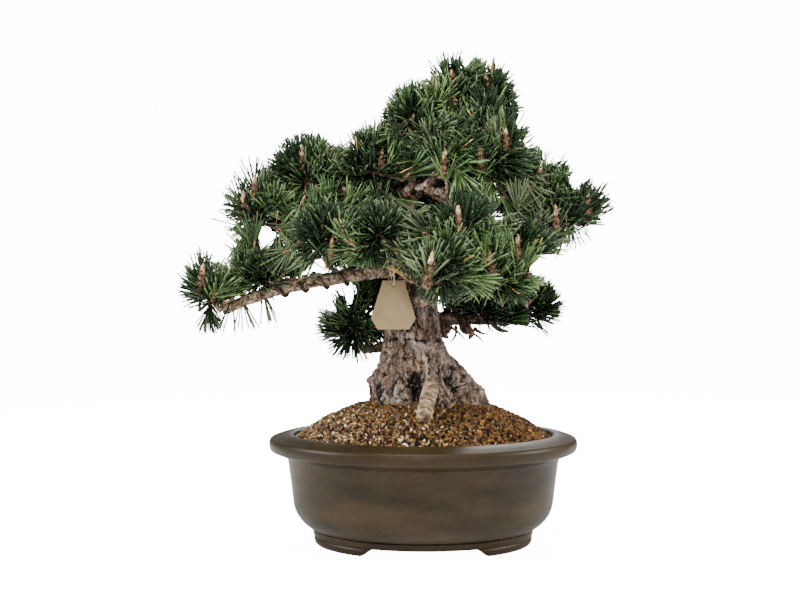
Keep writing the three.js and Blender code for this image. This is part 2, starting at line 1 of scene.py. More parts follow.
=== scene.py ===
import bpy
import math
import time
import numpy as np
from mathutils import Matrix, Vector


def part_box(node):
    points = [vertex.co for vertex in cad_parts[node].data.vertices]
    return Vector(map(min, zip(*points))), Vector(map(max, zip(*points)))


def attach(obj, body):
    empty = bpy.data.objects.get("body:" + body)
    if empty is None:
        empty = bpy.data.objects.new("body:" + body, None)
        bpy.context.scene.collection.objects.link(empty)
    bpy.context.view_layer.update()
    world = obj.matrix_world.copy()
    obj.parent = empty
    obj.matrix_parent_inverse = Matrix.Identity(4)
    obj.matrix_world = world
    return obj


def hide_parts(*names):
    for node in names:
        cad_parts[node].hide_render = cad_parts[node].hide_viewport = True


started = time.time()
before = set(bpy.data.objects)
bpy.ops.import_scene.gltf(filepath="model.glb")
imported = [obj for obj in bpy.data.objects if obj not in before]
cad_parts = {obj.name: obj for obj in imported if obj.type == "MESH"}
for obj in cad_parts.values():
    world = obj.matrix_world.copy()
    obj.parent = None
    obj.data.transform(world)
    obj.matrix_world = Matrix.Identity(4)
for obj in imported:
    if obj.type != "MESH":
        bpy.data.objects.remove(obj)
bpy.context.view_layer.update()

# Shapes below are in millimetres round the middle of the pot, as in the part's source
potLow, potHigh = (np.array(corner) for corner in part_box("pot"))
potMiddle = (potLow + potHigh) / 2
placeInFrame = np.array([potMiddle[0], potMiddle[1], 0.0])
rng = np.random.default_rng(20)
upward = np.array([0, 0, 1.0])


def say(stage):
    print(f"{stage}: {time.time() - started:.1f} s")


# Millimetres round the pot to metres in the frame
def toMetres(points):
    return np.asarray(points, float) / 1000 + placeInFrame


# Each vector over its own length
def unit(vectors):
    return vectors / np.maximum(np.linalg.norm(vectors, axis=-1, keepdims=True), 1e-9)


# A full turn in equal steps
def evenAngles(count):
    return np.arange(count) / count * 2 * np.pi


# Ways square to a path: its two axes mixed by the cosine and sine of each angle
def waysRound(side, other, angles):
    return side[:, None] * np.cos(angles)[:, None] + other[:, None] * np.sin(angles)[:, None]


# Camera: level, looking along +Y, at the photograph's viewing angle
cameraPlace = {"beside": -23, "before": -920, "high": 235.3, "lens": 41.4}
cameraData = bpy.data.cameras.new("camera")
cameraData.lens = cameraPlace["lens"]
cameraData.sensor_width = 36
cameraData.clip_end = 50
camera = bpy.data.objects.new("camera", cameraData)
camera.location = toMetres([cameraPlace[key] for key in ("beside", "before", "high")])
camera.rotation_euler = (math.pi / 2, 0, 0)
bpy.context.collection.objects.link(camera)
bpy.context.scene.camera = camera


# Scattered number between 0 and 1 for whole numbers i, j, k: products of primes mixed by shifts
def latticeNumber(cell, seed):
    i, j, k = cell.T
    mixed = (i * 73856093) ^ (j * 19349663) ^ (k * 83492791) ^ (seed * 2654435761)
    mixed = mixed & 0xFFFFFFFF
    mixed = ((mixed ^ (mixed >> 13)) * 1274126177) & 0xFFFFFFFF
    mixed = ((mixed ^ (mixed >> 16)) * 2246822519) & 0xFFFFFFFF
    return ((mixed ^ (mixed >> 15)) & 0xFFFFFF) / 0xFFFFFF


# Soft noise: lattice numbers blended by 3f^2 - 2f^3 along the three axes
def softNoise(points, seed=0):
    low = np.floor(points).astype(np.int64)
    part = points - low
    part = part * part * (3 - 2 * part)
    total = np.zeros(len(points))
    for corner in range(8):
        step = np.array([corner & 1, (corner >> 1) & 1, (corner >> 2) & 1])
        total += np.prod(np.where(step, part, 1 - part), axis=1) * latticeNumber(low + step, seed)
    return total


# Layered noise: each layer twice as fine and half as strong
def layeredNoise(points, layers, seed=0):
    total, whole = 0, 0
    for layer in range(layers):
        total = total + softNoise(points * 2**layer, seed + layer) / 2**layer
        whole += 1 / 2**layer
    return total / whole


# Cell noise: distances to the nearest and second nearest of one scattered point per unit cube
def cellNoise(points, seed=0):
    low = np.floor(points).astype(np.int64)
    nearest, second = np.full(len(points), 9.0), np.full(len(points), 9.0)
    for step in np.ndindex(3, 3, 3):
        cell = low + np.array(step) - 1
        spot = np.stack([latticeNumber(cell, seed + n) for n in (1, 2, 3)], 1)
        gap = np.linalg.norm(cell + spot - points, axis=1)
        second = np.where(gap < nearest, nearest, np.minimum(second, gap))
        nearest = np.minimum(nearest, gap)
    return nearest, second


# Share s of the way from low to high, held between 0 and 1, eased by 3s^2 - 2s^3
def ramp(values, low, high):
    share = np.clip((values - low) / (high - low), 0, 1)
    return share * share * (3 - 2 * share)


# Centripetal curve through the rows, at shares of the way from the first row to the last
def curvePoints(rows, shares):
    points = np.asarray(rows, float)[:, :3]
    wide = np.vstack([2 * points[0] - points[1], points, 2 * points[-1] - points[-2]])
    along = np.clip(shares, 0, 1) * (len(points) - 1)
    i = np.minimum(np.floor(along).astype(int), len(points) - 2)
    f = (along - i)[:, None]
    a, b, c, d = (wide[i + n] for n in range(4))
    ab, bc, cd = (np.sqrt(np.linalg.norm(q - p, axis=1, keepdims=True)) for p, q in ((a, b), (b, c), (c, d)))
    leave = ((b - a) / ab - (c - a) / (ab + bc) + (c - b) / bc) * bc
    reach = ((c - b) / bc - (d - b) / (bc + cd) + (d - c) / cd) * bc
    return b + leave * f + (3 * c - 3 * b - 2 * leave - reach) * f**2 + (2 * b - 2 * c + leave + reach) * f**3


# Way of the curve: the step between two of its points just before and after each share
def curveTangents(rows, shares):
    return unit(curvePoints(rows, np.minimum(shares + 1e-4, 1)) - curvePoints(rows, np.maximum(shares - 1e-4, 0)))


# One column of the rows, read along straight lines from row to row
def rowSizes(rows, shares, column=3):
    return np.interp(np.clip(shares, 0, 1) * (len(rows) - 1), np.arange(len(rows)), [row[column] for row in rows])


# Two axes square to each tangent, carried along the path without twist
def carriedAxes(tangents):
    first, normals = np.array([0.3, 0.5, 0.8]), []
    for tangent in tangents:
        first = unit(first - tangent * (first @ tangent))
        normals.append(first)
    normals = np.array(normals)
    return normals, np.cross(tangents, normals)


# Faces of a grid of rings that close round, with a fan over each end
def ringFaces(rings, sides):
    i, k = np.meshgrid(np.arange(rings - 1), np.arange(sides), indexing="ij")
    l = (k + 1) % sides
    quads = np.stack([i * sides + k, i * sides + l, (i + 1) * sides + l, (i + 1) * sides + k], -1).reshape(-1, 4)
    k = np.arange(sides)
    l = (k + 1) % sides
    last = (rings - 1) * sides
    start = np.stack([np.full(sides, rings * sides), l, k], 1)
    end = np.stack([np.full(sides, rings * sides + 1), last + k, last + l], 1)
    return quads, np.vstack([start, end])


# Surfaces gathered for one piece, with a value at each point that darkens its colour: bark tone and painted shade
class Shell:
    def __init__(self):
        self.points, self.quads, self.tris, self.values, self.count = [], [], [], [], 0

    def addGrid(self, grid, values=None, capped=True):
        rings, sides = grid.shape[:2]
        quads, tris = ringFaces(rings, sides)
        values = np.zeros((rings, sides)) if values is None else values
        flat, marks = grid.reshape(-1, 3), values.reshape(-1)
        if capped:
            flat = np.vstack([flat, grid[0].mean(0), grid[-1].mean(0)])
            marks = np.concatenate([marks, [values[0].mean(), values[-1].mean()]])
        self.addFaces(flat, quads, tris if capped else tris[:0], marks)

    def addFaces(self, points, quads, tris, values=None):
        self.points.append(points)
        self.quads.append(np.asarray(quads, int).reshape(-1, 4) + self.count)
        self.tris.append(np.asarray(tris, int).reshape(-1, 3) + self.count)
        self.values.append(np.zeros(len(points)) if values is None else values)
        self.count += len(points)

    def makeMesh(self, name, smooth=True):
        quads, tris = np.vstack(self.quads), np.vstack(self.tris)
        mesh = bpy.data.meshes.new(name)
        mesh.vertices.add(self.count)
        mesh.vertices.foreach_set("co", toMetres(np.vstack(self.points)).ravel())
        mesh.loops.add(quads.size + tris.size)
        mesh.loops.foreach_set("vertex_index", np.concatenate([quads.ravel(), tris.ravel()]).astype(np.int32))
        mesh.polygons.add(len(quads) + len(tris))
        starts = np.concatenate([np.arange(len(quads)) * 4, len(quads) * 4 + np.arange(len(tris)) * 3])
        mesh.polygons.foreach_set("loop_start", starts.astype(np.int32))
        mesh.update(calc_edges=True)
        mesh.polygons.foreach_set("use_smooth", np.full(len(mesh.polygons), smooth))
        toneAndShade = mesh.attributes.new("toneAndShade", "FLOAT", "POINT")
        toneAndShade.data.foreach_set("value", np.concatenate(self.values).astype(np.float32))
        return mesh

    def piece(self, name, material, slotName, stands, smooth=True):
        mesh = self.makeMesh(name, smooth)
        mesh.materials.append(material)
        item = bpy.data.objects.new(name, mesh)
        bpy.context.collection.objects.link(item)
        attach(item, "root")
        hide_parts(*stands)
        return item


# One node: properties by name, and values for its input sockets
def addNode(nodes, kind, values=None, **settings):
    node = nodes.new("ShaderNode" + kind)
    for key, value in settings.items():
        setattr(node, key, value)
    for socket, value in (values or {}).items():
        node.inputs[socket].default_value = value
    return node


# A node group from tables; a link reads "node.socket > node.socket", where the group's own sides are in and out
def makeGroup(name, inputs, outputs, parts, links):
    group = bpy.data.node_groups.new(name, "ShaderNodeTree")
    kinds = {1: "NodeSocketFloat", 3: "NodeSocketVector", 4: "NodeSocketColor"}
    for label, start in inputs.items():
        socket = group.interface.new_socket(name=label, in_out="INPUT", socket_type=kinds[np.size(start)])
        socket.default_value = start
    for label in outputs:
        group.interface.new_socket(name=label, in_out="OUTPUT", socket_type=kinds[4 if label == "Colour" else 1])
    nodes = {"in": group.nodes.new("NodeGroupInput"), "out": group.nodes.new("NodeGroupOutput")}
    for label, part in parts.items():
        nodes[label] = addNode(group.nodes, **part)
    for line in links:
        (start, leaving), (end, entering) = (side.strip().split(".") for side in line.split(">"))
        entering = int(entering) if entering.isdigit() else entering
        leaving = int(leaving) if leaving.isdigit() else leaving
        group.links.new(nodes[start].outputs[leaving], nodes[end].inputs[entering])
    return group


# Mottling: layered noise on Object coordinates, sharpened, mixes two colours
mottleGroup = makeGroup(
    "mottle",
    {"Dark": (0, 0, 0, 1), "Light": (1, 1, 1, 1), "Scale": 100.0, "Sharpness": 2.0, "Stretch": (1, 1, 1)},
    ["Colour", "Mask"],
    {"place": {"kind": "TexCoord"}, "stretch": {"kind": "Mapping"},
     "noise": {"kind": "TexNoise", "values": {"Detail": 5}},
     "centre": {"kind": "Math", "operation": "SUBTRACT", "values": {1: 0.5}},
     "sharpen": {"kind": "Math", "operation": "MULTIPLY_ADD", "use_clamp": True, "values": {2: 0.5}},
     "mix": {"kind": "Mix", "data_type": "RGBA"}},
    ["place.Object > stretch.Vector", "in.Stretch > stretch.Scale", "stretch.Vector > noise.Vector",
     "in.Scale > noise.Scale", "noise.Fac > centre.0", "centre.0 > sharpen.0", "in.Sharpness > sharpen.1",
     "sharpen.0 > mix.Factor", "in.Dark > mix.A", "in.Light > mix.B", "mix.Result > out.Colour",
     "sharpen.0 > out.Mask"])

# Grain: a fine noise and a coarser one mixed, as a height for Bump nodes
grainGroup = makeGroup(
    "grain", {"Fine": 1500.0, "Coarse": 300.0, "Share": 0.5}, ["Height"],
    {"place": {"kind": "TexCoord"}, "fine": {"kind": "TexNoise", "values": {"Detail": 3}},
     "coarse": {"kind": "TexNoise", "values": {"Detail": 3}}, "mix": {"kind": "Mix"}},
    ["place.Object > fine.Vector", "in.Fine > fine.Scale", "place.Object > coarse.Vector", "in.Coarse > coarse.Scale",
     "in.Share > mix.Factor", "fine.Fac > mix.A", "coarse.Fac > mix.B", "mix.Result > out.Height"])

# Tint from the piece's own tone-and-shade attribute: dark in the cracks and in painted shade, light on the plates
toneAndShadeGroup = makeGroup(
    "toneAndShadeTint", {"Crack": (0, 0, 0, 1), "Plate": (1, 1, 1, 1), "From": 0.1, "To": 0.6}, ["Colour", "Mask"],
    {"read": {"kind": "Attribute", "attribute_name": "toneAndShade"}, "spread": {"kind": "MapRange"},
     "mix": {"kind": "Mix", "data_type": "RGBA"}},
    ["read.Fac > spread.Value", "in.From > spread.From Min", "in.To > spread.From Max", "spread.Result > mix.Factor",
     "in.Crack > mix.A", "in.Plate > mix.B", "mix.Result > out.Colour", "spread.Result > out.Mask"])

# Flakes: bent noise cut into steps, each step a sawtooth with a narrow crack along its low side
flakeGroup = makeGroup(
    "flakes", {"Scale": 100.0, "Stretch": (1, 1, 1), "Bend": 0.5, "Steps": 6.0, "Width": 0.2}, ["Mask", "Height"],
    {"place": {"kind": "TexCoord"}, "stretch": {"kind": "Mapping"},
     "noise": {"kind": "TexNoise", "values": {"Detail": 4}},
     "times": {"kind": "Math", "operation": "MULTIPLY"}, "part": {"kind": "Math", "operation": "FRACT"},
     "fall": {"kind": "Math", "operation": "SUBTRACT", "values": {0: 1}},
     "high": {"kind": "Math", "operation": "MULTIPLY"}, "spread": {"kind": "MapRange"}},
    ["place.Object > stretch.Vector", "in.Stretch > stretch.Scale", "stretch.Vector > noise.Vector",
     "in.Scale > noise.Scale", "in.Bend > noise.Distortion", "noise.Fac > times.0", "in.Steps > times.1",
     "times.0 > part.0", "part.0 > spread.Value", "in.Width > spread.From Max", "part.0 > fall.1", "fall.0 > high.0",
     "spread.Result > high.1", "spread.Result > out.Mask", "high.0 > out.Height"])


# A group in a material, with its named inputs set
def placeGroup(nodes, group, values):
    node = addNode(nodes, "Group", node_tree=group)
    for label, value in values.items():
        node.inputs[label].default_value = (*value, 1) if node.inputs[label].type == "RGBA" else value
    return node


# Product of two colours, by an amount
def multiply(nodes, link, first, second, amount=1.0):
    blend = addNode(nodes, "Mix", {"Factor": amount}, data_type="RGBA", blend_type="MULTIPLY")
    link(first, blend.inputs["A"])
    link(second, blend.inputs["B"])
    return blend.outputs["Result"]


# One finish: mottled colour, darker in the cracks and painted shade that the piece's attribute carries,
# and between flakes, with grain as bump
def makeFinish(name, look):
    material = bpy.data.materials.new(name)
    material.use_nodes = True
    nodes, link = material.node_tree.nodes, material.node_tree.links.new
    shader = nodes["Principled BSDF"]
    shader.inputs["Roughness"].default_value = look["rough"]
    shader.inputs["Metallic"].default_value = look.get("metal", 0)
    shader.inputs["Specular IOR Level"].default_value = look.get("shine", 0.5)
    mottle = placeGroup(nodes, mottleGroup, {"Dark": look["dark"], "Light": look["light"], "Scale": look["scale"],
                                             "Sharpness": look["sharp"], "Stretch": look.get("stretch", even)})
    colour, heights, normal = mottle.outputs["Colour"], [], None
    for tint, scale, sharp, amount, stretch in look.get("over", []):
        patch = placeGroup(nodes, mottleGroup, {"Dark": even, "Light": tint, "Scale": scale, "Sharpness": sharp,
                                                "Stretch": stretch})
        colour = multiply(nodes, link, colour, patch.outputs["Colour"], amount)
    for scale, stretch, bend, steps, width, dark, high in look.get("flakes", []):
        flake = placeGroup(nodes, flakeGroup, {"Scale": scale, "Stretch": stretch, "Bend": bend, "Steps": steps,
                                               "Width": width})
        shade = addNode(nodes, "MapRange", {"To Min": dark})
        link(flake.outputs["Mask"], shade.inputs["Value"])
        colour = multiply(nodes, link, colour, shade.outputs["Result"])
        heights.append((flake.outputs["Height"], high))
    if "crack" in look:
        crack, low, high = look["crack"]
        tint = placeGroup(nodes, toneAndShadeGroup, {"Crack": crack, "Plate": even, "From": low, "To": high})
        colour = multiply(nodes, link, colour, tint.outputs["Colour"])
    link(colour, shader.inputs["Base Color"])
    if "bump" in look:
        grain = placeGroup(nodes, grainGroup, {"Fine": look["fine"], "Coarse": look["coarse"], "Share": 0.5})
        heights.append((grain.outputs["Height"], look["depth"]))
    for height, depth in heights:
        bump = addNode(nodes, "Bump", {"Strength": look["bump"], "Distance": depth})
        link(height, bump.inputs["Height"])
        if normal:
            link(normal, bump.inputs["Normal"])
        normal = bump.outputs["Normal"]
    if normal:
        link(normal, shader.inputs["Normal"])
    return material


# Each layer over the mottling is tint, scale, sharpness, amount and stretch; each layer of flakes is scale,
# stretch, bend, steps, crack width, crack darkness and height; crack is the colour where the piece's attribute
# is low, in cracks and in painted shade, and the values it fades between
even = (1, 1, 1)
woody = {"sharp": 3.5, "rough": 0.9, "shine": 0.2, "bump": 0.9, "fine": 2400, "coarse": 900, "depth": 0.0006}
fineWood = {"rough": 0.85, "shine": 0.2, "fine": 3000, "coarse": 1200, "depth": 0.0005}
finishes = {
    "clay": {"dark": (0.0118, 0.0074, 0.0019), "light": (0.0262, 0.0172, 0.0060), "scale": 20, "sharp": 3.2,
             "stretch": (0.7, 0.7, 2.2), "rough": 0.44, "shine": 0.12, "bump": 0.25, "fine": 1400, "coarse": 160,
             "over": [((1.0, 0.82, 0.68), 34, 7, 0.5, even), ((0.56, 0.58, 0.58), 12, 6, 0.7, (0.5, 0.5, 2.6)),
                      ((0.72, 0.72, 0.72), 260, 6, 0.4, even)], "depth": 0.0006},
    "bark": {**woody, "dark": (0.135, 0.106, 0.086), "light": (0.47, 0.390, 0.325), "scale": 110, "sharp": 3.2,
             "stretch": (1, 1, 0.5), "bump": 1.0, "fine": 2200, "coarse": 700, "depth": 0.0008,
             "over": [((0.50, 0.41, 0.34), 330, 5, 0.8, (1, 1, 0.4)), ((0.88, 0.68, 0.50), 55, 5, 0.7, even)],
             "flakes": [(75, (1, 1, 0.5), 0.9, 6, 0.16, 0.05, 0.003), (170, (1, 1, 0.5), 0.7, 5, 0.22, 0.14, 0.0014)],
             "crack": ((0.03, 0.023, 0.017), 0.07, 0.39)},
    # a lighter bark for the forks in the crown's window: their own pale bark, lightened further as painted light where
    # the crown shades them
    "pale": {**woody, "dark": (0.25, 0.17, 0.12), "light": (0.82, 0.66, 0.52), "scale": 130, "fine": 2200,
             "coarse": 700, "depth": 0.0008, "flakes": [(110, even, 0.9, 5, 0.3, 0.25, 0.0016)],
             "crack": ((0.16, 0.11, 0.08), 0.05, 0.5)},
    "limb": {**woody, "dark": (0.105, 0.068, 0.042), "light": (0.44, 0.325, 0.225), "scale": 160,
             "flakes": [(120, even, 1.0, 5, 0.3, 0.30, 0.0014)], "crack": ((0.22, 0.16, 0.11), 0.08, 0.55)},
    # the limb's bark darkened as painted shade, for the boughs and stubs behind the low waist
    "shadedLimb": {**woody, "dark": (0.026, 0.015, 0.009), "light": (0.150, 0.098, 0.064), "scale": 190, "sharp": 4,
                "shine": 0.15, "flakes": [(140, even, 1.0, 5, 0.3, 0.30, 0.0014)],
                "crack": ((0.22, 0.16, 0.11), 0.08, 0.55)},
    "root": {**woody, "dark": (0.12, 0.082, 0.052), "light": (0.475, 0.355, 0.222), "scale": 95,
             "stretch": (1, 1, 1.3), "rough": 0.85, "bump": 0.8, "depth": 0.0005,
             "over": [((0.40, 0.31, 0.23), 200, 5, 0.85, (1, 1, 1.6))],
             "flakes": [(110, (0.8, 0.8, 1.6), 0.4, 6, 0.16, 0.45, 0.0009)],
             "crack": ((0.14, 0.105, 0.075), 0.05, 0.6)},
    "twig": {**fineWood, "dark": (0.020, 0.011, 0.007), "light": (0.095, 0.056, 0.034), "scale": 420, "sharp": 3,
             "shine": 0.25, "bump": 0.5, "coarse": 1400, "depth": 0.0004},
    "shoot": {**fineWood, "dark": (0.040, 0.018, 0.009), "light": (0.32, 0.185, 0.100), "scale": 330, "sharp": 4,
              "bump": 0.8, "flakes": [(380, (1, 1, 1.3), 0.5, 5, 0.35, 0.2, 0.0009)]},
    "bud": {**fineWood, "dark": (0.26, 0.110, 0.036), "light": (0.86, 0.62, 0.36), "scale": 260, "sharp": 4,
            "rough": 0.7, "shine": 0.3, "bump": 0.7, "depth": 0.0004,
            "flakes": [(420, (1, 1, 1.4), 0.4, 4, 0.3, 0.35, 0.0006)]},
    "wire": {"dark": (0.022, 0.013, 0.009), "light": (0.050, 0.030, 0.020), "scale": 300, "sharp": 2,
             "rough": 0.42, "metal": 0.6, "bump": 0.15, "fine": 3000, "coarse": 900, "depth": 0.0005},
    "paper": {"dark": (0.150, 0.100, 0.050), "light": (0.26, 0.190, 0.105), "scale": 45, "sharp": 1.6,
              "over": [((0.86, 0.82, 0.76), 1100, 5, 0.6, even)],
              "rough": 0.85, "shine": 0.2, "bump": 0.3, "fine": 4000, "coarse": 1200, "depth": 0.0002},
    "twine": {"dark": (0.40, 0.31, 0.19), "light": (0.66, 0.55, 0.38), "scale": 1500, "sharp": 3,
              "rough": 0.85, "shine": 0.2, "bump": 0.6, "fine": 5000, "coarse": 2500, "depth": 0.0002},
    # the bed under the grains: fine soil, near black as painted shade in the gaps between grains
    "soilBedShade": {"dark": (0.004, 0.0016, 0.0007), "light": (0.018, 0.008, 0.003), "scale": 420, "sharp": 4,
                 "rough": 0.95, "shine": 0.15, "bump": 1.0, "fine": 1800, "coarse": 600, "depth": 0.0015},
}
materials = {name: makeFinish(name, look) for name, look in finishes.items()}


pot = {
    "narrow": 36, "evenFrom": 90,  # each level past this half length is so much less deep than long, each side
    "profile": [(0, 8), (50, 8), (100, 8), (107.6, 8), (108.8, 8.3), (109.3, 9.4), (109.9, 12), (110.1, 14),
                (109.6, 14.7), (108.9, 15.1), (109.8, 15.5), (112, 16.1), (115.4, 18.4), (119.6, 22), (123.7, 26.8),
                (127, 32.6), (128.9, 39), (130, 46), (131.6, 60), (133.1, 73), (134, 80), (135, 84), (136.3, 86.3),
                (139, 87.8), (145, 90.4), (150, 92.6), (151.4, 93.5), (152.3, 95.4), (152.9, 99.4), (152.5, 102.2),
                (151.4, 104.2), (150.4, 104.9), (148.6, 105.5), (142, 107.7), (136.4, 108.9), (133, 109),
                (130.4, 108.5), (128.6, 107.2), (127.6, 104), (127.1, 98), (125, 75), (121.8, 48), (118.4, 35),
                (113, 28), (106, 22), (99, 18.6), (92, 18), (45, 18), (0, 18)],
    "around": 288, "each": 3, "wobble": 0.35, "waves": (46, 46, 26),
    # the foot's ring, as steps out from its edge and shares of its height
    "foot": [(0, 1), (0.9, 0.62), (0.2, 0.3), (-0.6, 0.1), (-1.7, 0), (-6, 0), (-11, 0), (-12.4, 0.06), (-13, 0.2),
             (-13, 1)],
    "footOutside": 107.9, "footTop": 8.4, "gapTop": 46.5, "gapFoot": 61, "drainRadius": 8, "drainPlace": 44,
    "drainSides": 40, "drainLevels": (4.0, 22.0), "wobbleFrom": (60, 100),
}


# Oval surface: the profile's half length a gives x = a cos t and y = (a - narrow) sin t
def ovalGrid(halfLengths, heights, angles):
    a = halfLengths[:, None]
    least, narrow = pot["evenFrom"], pot["narrow"]
    depth = np.where(a > least, a - narrow, a * (least - narrow) / least)
    z = np.broadcast_to(heights[:, None], (len(halfLengths), len(angles)))
    return np.stack([a * np.cos(angles), depth * np.sin(angles), z], -1)


# Pot: an oval surface of the profile, moved in and out by a soft noise of a fraction of a millimetre, on a ring
# whose height falls to nothing where the cut-outs between the feet are
def makePot():
    angles = evenAngles(pot["around"])
    rows = np.array([(a, 0, z) for a, z in pot["profile"]])
    steps = (len(rows) - 1) * pot["each"]
    line = curvePoints(rows, np.arange(steps + 1) / steps)
    line[:, 0] = np.maximum(line[:, 0], 0.02)
    grid = ovalGrid(line[:, 0], line[:, 2], angles)
    flat = grid.reshape(-1, 3)
    inside = ramp(np.linalg.norm(flat[:, :2], axis=1), *pot["wobbleFrom"])
    push = (layeredNoise(flat / np.array(pot["waves"]), 2, 5) - 0.5) * 2 * pot["wobble"] * inside
    flat[:, :2] += unit(flat[:, :2]) * push[:, None]
    shell = Shell()
    shell.addGrid(flat.reshape(grid.shape))
    steps, shares = np.array(pot["foot"]).T
    foot = ovalGrid(pot["footOutside"] + steps, np.zeros(len(steps)), angles)
    tall = ramp(np.abs(foot[:, :, 0]), pot["gapTop"], pot["gapFoot"])
    foot[:, :, 2] = pot["footTop"] * (1 - tall * (1 - shares[:, None]))
    shell.addGrid(np.concatenate([foot, foot[:1]]), capped=False)
    item = shell.piece("potClay", materials["clay"], "clay", ["pot"])
    for side in (-1, 1):
        cutDrain(item, side * pot["drainPlace"])


# A drain hole: a prism of many sides taken out of the floor, with the modifier applied
def cutDrain(item, middle):
    turn = evenAngles(pot["drainSides"])
    ring = np.stack([middle + pot["drainRadius"] * np.cos(turn), pot["drainRadius"] * np.sin(turn)], 1)
    prism = Shell()
    prism.addGrid(np.stack([np.column_stack([ring, np.full(len(ring), z)]) for z in pot["drainLevels"]]))
    cutter = bpy.data.objects.new("drainCutter", prism.makeMesh("drainCutter"))
    bpy.context.collection.objects.link(cutter)
    modifier = item.modifiers.new("drain", "BOOLEAN")
    modifier.operation, modifier.object, modifier.solver = "DIFFERENCE", cutter, "EXACT"
    bpy.context.view_layer.update()
    done = bpy.data.meshes.new_from_object(item.evaluated_get(bpy.context.evaluated_depsgraph_get()))
    item.modifiers.clear()
    item.data = done
    bpy.data.objects.remove(cutter)


makePot()
say("pot")


trunk = {
    # place of the middle line, half width and half depth
    "rows": [(5, 2, 131, 58.5, 43.5), (5, 2, 140, 56, 42), (1, 2, 152, 53, 39), (-2, 2, 163, 48, 36),
             (-3.5, 2, 176, 40, 32), (-8, 2, 191, 32.5, 28), (-10, 2, 206, 28.5, 25), (-11, 2, 226, 26, 23),
             (-12, 2, 245, 23, 21), (-14, 2, 262, 20, 18.5), (-18, 2, 280, 17.5, 16.5), (-19, 2, 300, 15, 14.5),
             (-19, 3, 325, 12.5, 12), (-16, 3, 341, 10.5, 10.5), (-7, 4, 353, 9, 9), (6, 4, 361, 8, 8),
             (17, 4, 371, 7.2, 7.2), (24, 4, 386, 6.4, 6.4), (28, 4, 405, 5.6, 5.6), (31, 4, 424, 4.6, 4.6),
             (32, 4, 438, 3.6, 3.6)],
    # the ledge's groove and the hollows between ribs are darkened as painted shade
    "flareTop": 205, "flareOver": 60, "levelTop": 290, "levelOver": 40, "paleFrom": 322, "around": 300,
    "along": 310, "ledge": 201, "ledgeDeep": 2.6, "ledgeShade": 0.7, "hollowShade": 0.12, "seed": 3,
    "ledgeWave": 6, "ledgeHigh": 1.5, "fullBark": 30,
    # lobes of the flare, and of the whole trunk, which turn with height: height, count and start or turning
    "lobes": (0.09, 6, 2.2), "turning": (0.035, 5, 0.05),
    # ribs of the flare and burls: angle round the trunk, half width in radians, middle level, half height, height
    "ribs": [(5.08, 0.30, 184, 30, 4.5), (5.75, 0.28, 158, 34, 4.5), (3.38, 0.24, 163, 12, 6),
             (4.13, 0.30, 160, 40, 3.5), (4.57, 0.20, 153, 20, -7), (5.42, 0.22, 150, 26, -4),
             (3.72, 0.24, 150, 26, -3.5), (0.15, 0.34, 156, 32, 4.5), (0.85, 0.36, 158, 40, 4.5),
             (1.55, 0.34, 154, 34, 5), (2.25, 0.34, 160, 42, 4.5), (2.85, 0.30, 152, 28, 4), (0.5, 0.24, 150, 28, -3),
             (1.9, 0.24, 150, 28, -3), (4.9, 0.5, 236, 14, 2.5), (3.5, 0.5, 226, 16, 3), (1.2, 0.6, 232, 18, 3),
             (5.9, 0.5, 250, 16, 2.5), (3.2, 0.16, 160, 6, 5), (3.3, 0.2, 149, 5, 4), (0.02, 0.14, 173, 5, 4),
             (6.22, 0.14, 152, 6, 4.5)],
}
barkLook = {
    "trunk": {"bend": 13, "flake": (7, 7, 10), "steps": 8, "flakeHigh": 2.2, "fibre": (3.2, 3.2, 12),
              "fibreHigh": 3.0, "cell": (11, 11, 26), "crackDeep": 2.4, "crackWide": 0.13, "lump": 13,
              "lumpHigh": 3.6, "lines": [((8, 8, 20), 0.032), ((4.4, 4.4, 9), 0.048)], "lineDeep": 2.4},
    "limb": {"bend": 2.5, "flake": 4.2, "steps": 6, "flakeHigh": 0.8, "fibre": 3, "fibreHigh": 0.9, "cell": 7,
             "crackDeep": 0.7, "crackWide": 0.12, "lump": 9, "lumpHigh": 1.6, "lines": [(6, 0.035), (3.4, 0.05)],
             "lineDeep": 0.8},
}
